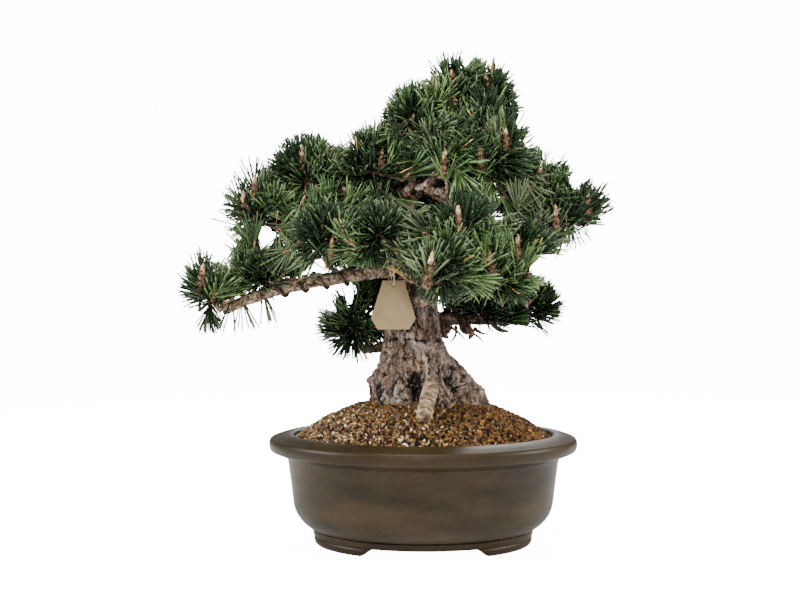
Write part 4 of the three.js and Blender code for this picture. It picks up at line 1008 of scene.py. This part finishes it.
# Needles: pairs dealt by the golden angle along each shoot, wide at its foot and close at its tip
def growNeedles(grown):
    shootsCount, each = len(grown["start"]), needles["each"]
    which = np.repeat(np.arange(shootsCount), each)
    pair, twin = (np.tile(order, shootsCount) for order in np.divmod(np.arange(each), 2))
    count = len(which)
    s = (pair + rng.random(count) * 0.4) / (each // 2)
    s = needles["zone"][0] + (needles["zone"][1] - needles["zone"][0]) * s**0.8
    turn = pair * growth["turn"] + rng.uniform(-needles["twist"], needles["twist"], count) + which
    strongOnes, hangs, axes = grown["bud"][which] > 0, grown["hangs"][which], grown["way"][which]
    lean = needles["leanLow"] + (needles["leanTip"] - needles["leanLow"]) * s
    spread = needles["leanSpread"]
    lean = lean + rng.uniform(-spread, spread, count) + (twin - 0.5) * 2 * needles["pairSpread"]
    ways = leaned(axes, lean * np.where(hangs, hanging["lean"], 1), turn)
    roots = grown["start"][which] + axes * (grown["length"][which] * s)[:, None] + ways * 0.9
    length = rng.uniform(*needles["length"], count) * (1 - needles["tipShorter"] * s**3)
    # a strong bud shows between its needles from the front, and a hanging shoot carries only a few
    drop = strongOnes & (ways[:, 1] < -strong["open"]) & (rng.random(count) < strong["dropped"])
    drop |= hangs & (pair % hanging["every"] > 0)
    # nothing grows just in front of a strong bud
    wide, tall = strong["clear"]
    for x, y, z in strong["tips"]:
        for share in (0.3, 0.6, 1.0):
            part = roots + ways * (length * share)[:, None]
            drop |= (np.abs(part[:, 0] - x) < wide) & (part[:, 1] < y - 2) & (np.abs(part[:, 2] - z + 11) < tall)
    limit = rng.uniform(*needles["openEdge"], count)
    for share in (0.0, 0.5, 0.75, 1.0):
        part = roots + ways * (length * share)[:, None]
        drop |= isOpen(part, openings, limit) & ~strongOnes & ~hangs
        for place, front in windows:
            drop |= isOpen(part, [place]) & (part[:, 1] < front)
    # a needle that would leave the crown is tried shorter, and then left out
    uneven = needles["unevenEdge"]
    edge = rng.uniform(*needles["edge"], shootsCount)[which] + rng.uniform(-uneven, uneven, count)
    edge += needles["topBack"] * ramp((grown["start"] + grown["way"] * 10)[which, 2], *needles["top"])
    edge = np.where(grown["free"][which], needles["freeEdge"], edge)
    kept = np.zeros(count)
    for share in needles["tries"]:
        left = np.flatnonzero((kept == 0) & ~drop)
        tips, middles = (roots[left] + ways[left] * (length[left] * part)[:, None] for part in (share, share * 0.5))
        fits = (crownSpace(tips) > edge[left]) | strongOnes[left] | hangs[left]
        kept[left[fits & isClear(tips, 0.2) & isClear(middles, 0.2)]] = share
    good = kept > 0
    return {"root": roots[good], "way": ways[good], "length": (length * kept)[good], "shoot": which[good]}


# One needle: a three-sided bar of even thickness with a short point, slightly bent where the point starts
def addNeedles(shell, roots, ways, length):
    u, v = sideWays(ways)
    count = len(u)
    turn = (rng.random(count) * 2 * np.pi)[:, None]
    bow = (u * np.cos(turn) + v * np.sin(turn)) * (length * needles["bow"] * rng.random(count))[:, None]
    around = waysRound(u, v, evenAngles(3)) * needles["radius"]
    foot = roots[:, None] + around * needles["footWide"]
    neck = (roots + ways * length[:, None] * needles["neck"] + bow)[:, None] + around
    tip = (roots + ways * length[:, None])[:, None]
    first = (np.arange(count) * 7)[:, None]
    quads = np.concatenate([first + np.array([k, (k + 1) % 3, 3 + (k + 1) % 3, 3 + k]) for k in range(3)])
    tris = [first + np.array(three) for three in ((3, 4, 6), (4, 5, 6), (5, 3, 6), (2, 1, 0))]
    shell.addFaces(np.concatenate([foot, neck, tip], 1).reshape(-1, 3), quads, np.concatenate(tris))


# Short tubes in one go: every tube has the same ring shares and radii shares, on a bent middle line
def addTubes(shell, starts, ends, bends, radii, profile, sides):
    u, v = sideWays(unit(ends - starts))
    s, thick = np.array(profile, float).T
    middle = starts[:, None] + (ends - starts)[:, None] * s[:, None] + bends[:, None] * (4 * s * (1 - s))[:, None]
    around = waysRound(u, v, evenAngles(sides))
    grid = middle[:, :, None] + around[:, None] * (radii[:, None] * thick)[:, :, None, None]
    count, each = len(starts), len(s) * sides
    points = np.concatenate([grid.reshape(count, each, 3), middle[:, [0, -1]]], 1).reshape(-1, 3)
    first = (np.arange(count) * (each + 2))[:, None, None]
    quads, tris = ringFaces(len(s), sides)
    shell.addFaces(points, quads + first, tris + first)


# Boughs and stems as limbs; those behind the low waist, and the stubs under them, in a darker copy of the bark as
# painted shade
def makeLimbs():
    limbs, low = Shell(), Shell()
    for n, (name, rows) in enumerate(boughs.items()):
        addLimb(low if name in shadedBoughs else limbs, rows, 71 + n)
    for n, rows in enumerate(stems.values()):
        addLimb(limbs, rows, 171 + n, 14, 1.6)
    for n, rows in enumerate(stubs):
        addLimb(low, rows, 271 + n)
    lit = [f"bough_{name}" for name in boughs if name not in shadedBoughs]
    limbs.piece("boughBark", materials["limb"], "limb", lit)
    low.piece("shadedBark", materials["shadedLimb"], "limb", [f"bough_{name}" for name in shadedBoughs])


# shares along a tube and of its radius there
twigs = {"bends": (1.4, 0.9, 0.3), "bud": (2.5, 4), "budWide": (1.0, 0.7), "budPower": 2.2,
         "line": [(0, 1), (0.2, 0.92), (0.4, 1.05), (0.6, 0.86), (0.8, 0.98), (1, 0.82)],
         "spray": 1.9, "shoot": 1.5,
         "stalk": 1.45, "stalkLine": [(0, 0.85), (0.1, 1.2), (0.18, 0.9), (0.3, 1.25), (0.4, 0.9), (0.55, 1.2),
                                      (0.66, 0.85), (0.82, 1.1), (1, 0.8)],
         "budLine": [(0, 0.6), (0.12, 0.95), (0.3, 1.0), (0.5, 0.92), (0.68, 0.74), (0.85, 0.44), (1, 0.06)]}


# Twigs run from the stems to the sprays and on to the shoots, whose scaly stalks end in buds; short dry
# scales stand off the strong ones like bristles
def makeTwigs(sprays, grown, stands):
    shell, count, shootsCount = Shell(), len(sprays["mass"]), len(grown["start"])
    tips, way, strongOnes = grown["tip"], grown["way"], grown["bud"] > 0
    addTubes(shell, sprays["root"], sprays["base"], rng.normal(0, twigs["bends"][0], (count, 3)),
             np.full(count, twigs["spray"]), twigs["line"], 6)
    addTubes(shell, grown["foot"], grown["start"] + way * 0.6, rng.normal(0, twigs["bends"][1], tips.shape),
             np.full(shootsCount, twigs["shoot"]), twigs["line"], 5)
    shell.piece("twigs", materials["twig"], "limb", stands)
    stalks, buds = Shell(), Shell()
    thick = np.where(strongOnes, strong["thick"], twigs["stalk"])
    bends = rng.normal(0, twigs["bends"][2], tips.shape)
    addTubes(stalks, grown["start"] - way, tips, bends, thick, twigs["stalkLine"], 6)
    big = rng.random(shootsCount) ** twigs["budPower"]
    budLength = np.where(strongOnes, grown["bud"], twigs["bud"][0] + twigs["bud"][1] * big)
    budWide = np.where(strongOnes, strong["budWide"], twigs["budWide"][0] + twigs["budWide"][1] * big)
    for shell, rows in ((buds, strongOnes), (stalks, ~strongOnes)):
        budEnd = tips[rows] + way[rows] * budLength[rows, None]
        addTubes(shell, tips[rows] - way[rows] * 0.8, budEnd, np.zeros_like(budEnd), budWide[rows], twigs["budLine"], 8)
    of = np.repeat(np.flatnonzero(strongOnes), strong["bristles"])
    along = rng.random(len(of))
    ways = leaned(way[of], rng.uniform(*strong["bristleLean"], len(of)), rng.random(len(of)) * 2 * np.pi)
    roots = grown["start"][of] + way[of] * (grown["length"][of] * (1.05 * along - 0.1))[:, None] + ways * 2.4
    addNeedles(stalks, roots, ways, rng.uniform(*strong["bristle"], len(of)))
    stalks.piece("shoots", materials["shoot"], "limb", stands)
    buds.piece("buds", materials["bud"], "limb", stands)


# Tones are dealt by shoot, darker towards the top of the tree; as painted shade, shoots inside the crown take the
# darkest tone and low ones behind the darker two; a few needles differ from their shoot
def makeNeedles(grown, stands):
    batch, tips, tones = growNeedles(grown), grown["tip"], needles["tones"]
    say(f"{len(batch['root'])} needles")
    edges = np.cumsum([tone["share"] for tone in tones.values()])
    darker = 1 + (tips[:, 2] - needles["evenLevel"]) / needles["evenOver"]
    darker = np.clip(darker, *needles["evenLimits"])
    ofShoot = np.searchsorted(edges / edges[-1], rng.random(len(tips)) ** darker * 0.999)
    # painted shade: low shoots behind keep to the two darkest tones, and those deep in the crown, with packed and low
    # ones behind by chance, take the darkest
    shaded = (tips[:, 2] < needles["shadedBelow"]) & (tips[:, 1] > needles["shadedBehind"])
    deep = massDepths(tips).min(0) < needles["inner"]
    deep |= (grown["free"] | shaded) & (rng.random(len(tips)) < needles["shade"])
    pick = np.where(deep, 0, np.where(shaded, np.minimum(ofShoot, 1), ofShoot))[batch["shoot"]]
    loose = rng.random(len(pick))
    pick = np.where(loose < needles["mixed"], rng.integers(0, 4, len(pick)), pick)
    pick = np.where((loose > 1 - needles["dry"]) & (grown["bud"][batch["shoot"]] == 0), 4, pick)
    for n, (toneName, tone) in enumerate(tones.items()):
        chosen = np.flatnonzero(pick == n)
        material = makeFinish("needle" + toneName, {**needles["look"], **tone})
        for part, rows in enumerate(np.array_split(chosen, max(1, math.ceil(len(chosen) / needles["mostInPiece"])))):
            shell = Shell()
            addNeedles(shell, *(batch[key][rows] for key in ("root", "way", "length")))
            if toneName == "Dry":
                start, line = straws[:, :3], straws[:, 3:] - straws[:, :3]
                addNeedles(shell, start, unit(line), np.linalg.norm(line, axis=1))
            shell.piece(f"needles{toneName}{part + 1}", material, "needles", stands)


# Sprays, then shoots from them, less those that stand in an opening; then all they carry
def makeFoliage():
    stands = [f"foliage_{name}" for name in massNames]
    sprays = sprayPlaces()
    grown = addSpecial(addFillers(growShoots(sprays), sprays), sprays)
    grown["tip"] = grown["start"] + grown["way"] * grown["length"][:, None]
    seen = ~(isOpen(grown["tip"], openings) | isOpen(grown["start"], openings)) | (grown["bud"] > 0) | grown["hangs"]
    seen &= ~isOpen((grown["foot"] + grown["start"]) / 2, openings)
    grown = {key: value[seen] for key, value in grown.items()}
    say(f"{len(sprays['mass'])} sprays, {len(grown['start'])} shoots")
    makeLimbs()
    makeTwigs(sprays, grown, stands)
    say("limbs, twigs and buds")
    makeNeedles(grown, stands)


makeFoliage()
say("foliage")


soil = {
    "edge": 104.6, "rise": 39, "power": 2.6, "wave": 1.3, "length": 127.0, "around": 160, "rings": 44, "foot": 80,
    "grains": 12000, "radius": (0.8, 2.3), "small": 1.7, "splinter": (1.7, 0.75, 0.5),
    "bedSize": 9, "bedRough": 1.6, "bedDown": 2.4, "reach": 0.985, "sink": (0.45, 0.5), "stretch": (0.62, 1.3),
    "corners": (0.86, 1.14), "bare": (5, 2, 50, 36),  # middle and half sizes of the bare oval under the trunk
    # where pale bits gather: shares of both half sizes, limits, and what they change of the kinds' shares
    "paleWay": (0.8, 0.5), "paleFrom": (-0.35, 0.9), "paleMore": (0.2, 3.4, 1.5), "redLess": (1.35, 0.75),
    "look": {"scale": 330, "sharp": 3, "rough": 0.92, "shine": 0.2, "bump": 0.7, "fine": 3000, "coarse": 1200,
             "depth": 0.0005},
    "kinds": {
        "soilRed": {"dark": (0.036, 0.0160, 0.0034), "light": (0.142, 0.067, 0.015), "share": 0.44},
        "soilBrown": {"dark": (0.009, 0.004, 0.0014), "light": (0.040, 0.018, 0.006), "share": 0.34},
        "soilOrange": {"dark": (0.16, 0.064, 0.010), "light": (0.30, 0.140, 0.030), "share": 0.036},
        "soilCream": {"dark": (0.26, 0.175, 0.085), "light": (0.62, 0.49, 0.30), "share": 0.024},
        "soilGrey": {"dark": (0.060, 0.042, 0.022), "light": (0.19, 0.140, 0.080), "share": 0.08},
    },
}


# Mound: height falls from the middle by the share of the way to the rim, to a power, plus a gentle wave
def soilHeight(x, y):
    share = np.hypot(x / soil["length"], y / (soil["length"] - pot["narrow"]))
    wave = soil["wave"] * (1 - share**4) * np.sin(0.19 * x + 1.1) * np.cos(0.17 * y - 0.6)
    return soil["edge"] + soil["rise"] * (1 - share ** soil["power"]) + wave


# The bed under the grains: rings of the mound, roughened by a noise, on a skirt that goes down inside the pot;
# near black as fine soil and painted shade in the gaps between grains
def makeBed():
    angles = evenAngles(soil["around"])
    a = soil["length"] * np.concatenate([[1.0], np.linspace(1, 0.01, soil["rings"])])[:, None]
    x, y = a * np.cos(angles), a * (1 - pot["narrow"] / soil["length"]) * np.sin(angles)
    grid = np.stack([x, y, soilHeight(x, y)], -1)
    grid[0, :, 2] = soil["foot"]
    flat = grid.reshape(-1, 3)
    rough = soil["bedRough"] * (layeredNoise(flat / soil["bedSize"], 3, 81) - 0.5)
    flat[:, 2] += (rough - soil["bedDown"]) * (flat[:, 2] > 90)  # not on the skirt
    shell = Shell()
    shell.addGrid(grid)
    shell.piece("soilBed", materials["soilBedShade"], "soil", ["soil"])


# A ball of twelve points and twenty facets, each wound so that it faces out
def facetBall():
    phi = (1 + 5**0.5) / 2
    corners = [(s * 1.0, t * phi, 0) for s in (-1, 1) for t in (-1, 1)]
    ball = unit(np.array(corners + [(c, a, b) for a, b, c in corners] + [(b, c, a) for a, b, c in corners]))
    apart = np.linalg.norm(ball[:, None] - ball[None], axis=2)
    near = (apart > 0.1) & (apart < 1.2)
    facets = [(i, j, k) for i in range(12) for j in range(i + 1, 12) for k in range(j + 1, 12)
              if near[i, j] and near[j, k] and near[i, k]]
    return ball, np.array([(i, j, k) if np.cross(ball[j] - ball[i], ball[k] - ball[i]) @ ball[i] > 0 else (i, k, j)
                           for i, j, k in facets])


# Grains: facet balls, stretched and turned at random, laid on the mound; the turning is a matrix from a
# random unit quaternion. Pale bits gather at the left front, baked clay at the right and back
def makeGrains():
    ball, facets = facetBall()
    count = soil["grains"]
    out, turn = np.sqrt(rng.random(count)) * soil["reach"], rng.random(count) * 2 * np.pi
    x = soil["length"] * out * np.cos(turn)
    y = (soil["length"] - pot["narrow"]) * out * np.sin(turn)
    middleX, middleY, wide, deep = soil["bare"]
    beside = ((x - middleX) / wide) ** 2 + ((y - middleY) / deep) ** 2 >= 1
    x, y = x[beside], y[beside]
    count = len(x)
    halfDepth = soil["length"] - pot["narrow"]
    pale = -x / soil["length"] * soil["paleWay"][0] - y / halfDepth * soil["paleWay"][1]
    pale = ramp(pale, *soil["paleFrom"])
    least, more, power = soil["paleMore"]
    weights = np.tile(np.array([kind["share"] for kind in soil["kinds"].values()]), (count, 1))
    weights[:, 3:] *= (least + more * pale**power)[:, None]
    weights[:, :3] *= (soil["redLess"][0] - soil["redLess"][1] * pale)[:, None]
    edges = np.cumsum(weights / weights.sum(1, keepdims=True), axis=1)
    pick = (rng.random(count)[:, None] > edges).sum(1)
    radius = soil["radius"][0] + (soil["radius"][1] - soil["radius"][0]) * rng.random(count) ** soil["small"]
    z = soilHeight(x, y) - (soil["sink"][0] + soil["sink"][1] * rng.random(count)) * radius
    splinters = np.where((pick > 2)[:, None, None], np.array(soil["splinter"]), 1)
    stretch = rng.uniform(*soil["stretch"], (count, 1, 3)) * splinters
    body = ball[None] * stretch * rng.uniform(*soil["corners"], (count, 12, 1)) * radius[:, None, None]
    w, a, b, c = unit(rng.normal(size=(count, 4))).T
    spin = np.stack([1 - 2 * (b**2 + c**2), 2 * (a * b - w * c), 2 * (a * c + w * b),
                     2 * (a * b + w * c), 1 - 2 * (a**2 + c**2), 2 * (b * c - w * a),
                     2 * (a * c - w * b), 2 * (b * c + w * a), 1 - 2 * (a**2 + b**2)], 1).reshape(-1, 3, 3)
    body = np.einsum("nij,nkj->nki", spin, body) + np.stack([x, y, z], 1)[:, None]
    for n, (kindName, kind) in enumerate(soil["kinds"].items()):
        chosen = np.flatnonzero(pick == n)
        shell = Shell()
        first = (np.arange(len(chosen)) * 12)[:, None, None]
        shell.addFaces(body[chosen].reshape(-1, 3), np.zeros((0, 4), int), facets + first)
        shell.piece(kindName, makeFinish(kindName, {**soil["look"], **kind}), "soil", ["soil"], smooth=False)


makeBed()
makeGrains()
say("soil")


wires = {
    "wireLow": {"bough": "left_low", "from": 0.36, "to": 0.72, "turns": 4, "radius": 1.75, "stands": "wire_left_low"},
    "wireUpper": {"bough": "left_upper", "from": 0.24, "to": 0.42, "turns": 2.5, "radius": 0.8,
                  "stands": "wire_left_upper"},
}
coil = {"steps": 40, "press": 0.8, "endRise": 2.2, "endSteps": 14, "sides": 12}  # steps per turn
tag = {"x": -29.4, "y": -28, "shape": [(10.4, 259.5), (21.8, 222.7), (15.2, 212)], "thickness": 0.8, "hole": (255.4, 2),
       "bow": 1.2, "around": 220, "rings": 26}
twine = {"steps": 180, "sides": 8, "radius": 0.5, "reach": 1.06, "over": 0.315, "loop": 1.7}


# Round tube along any path of points, closed at its ends or joined into a loop
def pathTube(path, radius, sides, joined=False):
    if joined:
        path = np.vstack([path, path[:1]])
    tangents = unit(np.gradient(path, axis=0))
    if joined:
        tangents[0] = tangents[-1] = unit(tangents[0] + tangents[-1])
    shell = Shell()
    out = waysRound(*carriedAxes(tangents), evenAngles(sides))
    shell.addGrid(path[:, None] + out * radius, capped=not joined)
    return shell


# Coil: turns round a bough's middle line, pressed a little into its bark, with both ends standing off
def makeWire(name, wire):
    rows = boughs[wire["bough"]]
    steps = int(wire["turns"] * coil["steps"])
    i = np.arange(steps + 1)
    u = wire["from"] + (wire["to"] - wire["from"]) * i / steps
    side, other = carriedAxes(curveTangents(rows, u))
    end = coil["endRise"] * ramp(np.minimum(i, steps - i), coil["endSteps"], 0)
    r = (rowSizes(rows, u) + wire["radius"] * coil["press"] + end)[:, None]
    a = (2 * np.pi * wire["turns"] * i / steps)[:, None]
    path = curvePoints(rows, u) + side * r * np.cos(a) + other * r * np.sin(a)
    pathTube(path, wire["radius"], coil["sides"]).piece(name, materials["wire"], "wire", [wire["stands"]])


# Tag: rays from the hole's rim to the outline, front and back, bowed a little across
def makeTag():
    right = [(tag["x"] + w, z) for w, z in tag["shape"]]
    left = [(tag["x"] - w, z) for w, z in tag["shape"]][::-1]
    outline, hole = np.array(right + left), np.array([tag["x"], tag["hole"][0]])
    corners = np.arctan2(outline[:, 1] - hole[1], outline[:, 0] - hole[0]) % (2 * np.pi)
    angles = np.sort(np.concatenate([evenAngles(tag["around"]), corners]))
    way = np.stack([np.cos(angles), np.sin(angles)], 1)
    reach = np.full(len(angles), np.inf)
    for a, b in zip(outline, np.roll(outline, -1, 0)):
        edge, off = b - a, a - hole
        cross = way[:, 0] * edge[1] - way[:, 1] * edge[0]
        safe = np.where(np.abs(cross) < 1e-9, 1e-9, cross)
        t = (off[0] * edge[1] - off[1] * edge[0]) / safe
        s = (off[0] * way[:, 1] - off[1] * way[:, 0]) / safe
        reach = np.where((t > 0) & (s > -1e-6) & (s < 1 + 1e-6) & (t < reach), t, reach)
    r = tag["hole"][1] + (reach - tag["hole"][1]) * np.linspace(0, 1, tag["rings"])[:, None]
    x, z = np.moveaxis(hole + way * r[..., None], -1, 0)
    middle = tag["y"] - tag["bow"] * ((x - tag["x"]) / tag["shape"][1][0]) ** 2
    front, back = (np.stack([x, middle + side * tag["thickness"] / 2, z], -1) for side in (-1, 1))
    shell = Shell()
    shell.addGrid(np.concatenate([front, back[::-1], front[:1]]), capped=False)
    shell.piece("tagCard", materials["paper"], "paper", ["tag"], smooth=False)


# Twine: half a turn over the bough, straight down, and half a turn through the tag's hole
def makeTwine():
    over = curvePoints(boughs["left_front"], np.array([twine["over"]]))[0]
    reach = boughs["left_front"][1][3] * twine["reach"] + twine["radius"] + 0.45
    foot = np.array([tag["x"], tag["y"], tag["hole"][0] + 0.9])
    side = np.array([0.5, -0.866, 0])
    arcs = ((over, reach, np.pi * np.arange(9) / 8), (foot, twine["loop"], np.pi + np.pi * np.arange(5) / 4))
    knots = np.vstack([middle + side * (r * np.cos(a))[:, None] + upward * r * np.sin(a)[:, None]
                       for middle, r, a in arcs])
    ring = np.vstack([knots[-1:], knots, knots[:2]])
    path = curvePoints(ring, (1 + np.arange(twine["steps"]) / twine["steps"] * len(knots)) / (len(ring) - 1))
    tube = pathTube(path, twine["radius"], twine["sides"], joined=True)
    tube.piece("tagTwine", materials["twine"], "string", ["tag_string"])


for wireName, wire in wires.items():
    makeWire(wireName, wire)
makeTag()
makeTwine()
say("wire and tag")


studio = {"floor": (0.92, 0.92, 0.92), "glow": 14.0, "sky": (1.0, 1.0, 1.0), "skyStrength": 0.18,
          # metres: where the floor starts and turns up, the bend's radius, height and half width
          "front": -4, "turn": 3, "radius": 1.5, "top": 6, "wide": 6.0, "aim": (0, 0, 230)}
lamps = {
    "left": {"place": (-1500, -450, 900), "size": 0.4, "power": 64},
    "right": {"place": (1500, -350, 850), "size": 0.4, "power": 54},
    "above": {"place": (-100, -450, 1700), "size": 0.45, "power": 42},
    "front": {"place": (60, -1700, 900), "size": 0.35, "power": 24},
    "behind": {"place": (250, 1500, 1300), "size": 0.5, "power": 34},
}


# A glow for the camera alone, so that floor and sky read as white and throw no extra light
def glowFor(tree, socket, base):
    path = addNode(tree.nodes, "LightPath")
    glow = addNode(tree.nodes, "Math", {1: studio["glow"], 2: base}, operation="MULTIPLY_ADD")
    tree.links.new(path.outputs["Is Camera Ray"], glow.inputs[0])
    tree.links.new(glow.outputs[0], socket)


# Sweep: a flat floor that turns up behind through a quarter circle
def makeSweep():
    turn = np.linspace(0, np.pi / 2, 24)
    behind, radius = studio["turn"], studio["radius"]
    bend = np.column_stack([behind + radius * np.sin(turn), radius - radius * np.cos(turn)])
    line = np.vstack([[studio["front"], 0], bend, [behind + radius, studio["top"]]])
    faces = [[2 * i, 2 * i + 1, 2 * i + 3, 2 * i + 2] for i in range(len(line) - 1)]
    mesh = bpy.data.meshes.new("sweep")
    mesh.from_pydata([(x, y, z) for y, z in line for x in (-studio["wide"], studio["wide"])], [], faces)
    mesh.polygons.foreach_set("use_smooth", np.full(len(mesh.polygons), True))
    material = bpy.data.materials.new("sweep")
    material.use_nodes = True
    shader = material.node_tree.nodes["Principled BSDF"]
    shader.inputs["Base Color"].default_value = (*studio["floor"], 1)
    shader.inputs["Roughness"].default_value = 0.9
    shader.inputs["Specular IOR Level"].default_value = 0.1
    shader.inputs["Emission Color"].default_value = (1, 1, 1, 1)
    glowFor(material.node_tree, shader.inputs["Emission Strength"], 0.0)
    mesh.materials.append(material)
    sweep = bpy.data.objects.new("sweep", mesh)
    bpy.context.collection.objects.link(sweep)


# Square area lamps round the tree, each turned to the crown
def makeLamps():
    world = bpy.data.worlds.new("studio")
    world.use_nodes = True
    back = world.node_tree.nodes["Background"]
    back.inputs["Color"].default_value = (*studio["sky"], 1)
    glowFor(world.node_tree, back.inputs["Strength"], studio["skyStrength"])
    bpy.context.scene.world = world
    aim = toMetres(studio["aim"])
    for name, lamp in lamps.items():
        data = bpy.data.lights.new(name, "AREA")
        data.size, data.energy = lamp["size"], lamp["power"]
        item = bpy.data.objects.new(name, data)
        item.location = toMetres(lamp["place"])
        way = item.location - type(item.location)(aim)
        item.rotation_euler = way.to_track_quat("Z", "Y").to_euler()
        bpy.context.collection.objects.link(item)


makeSweep()
makeLamps()
say("studio")
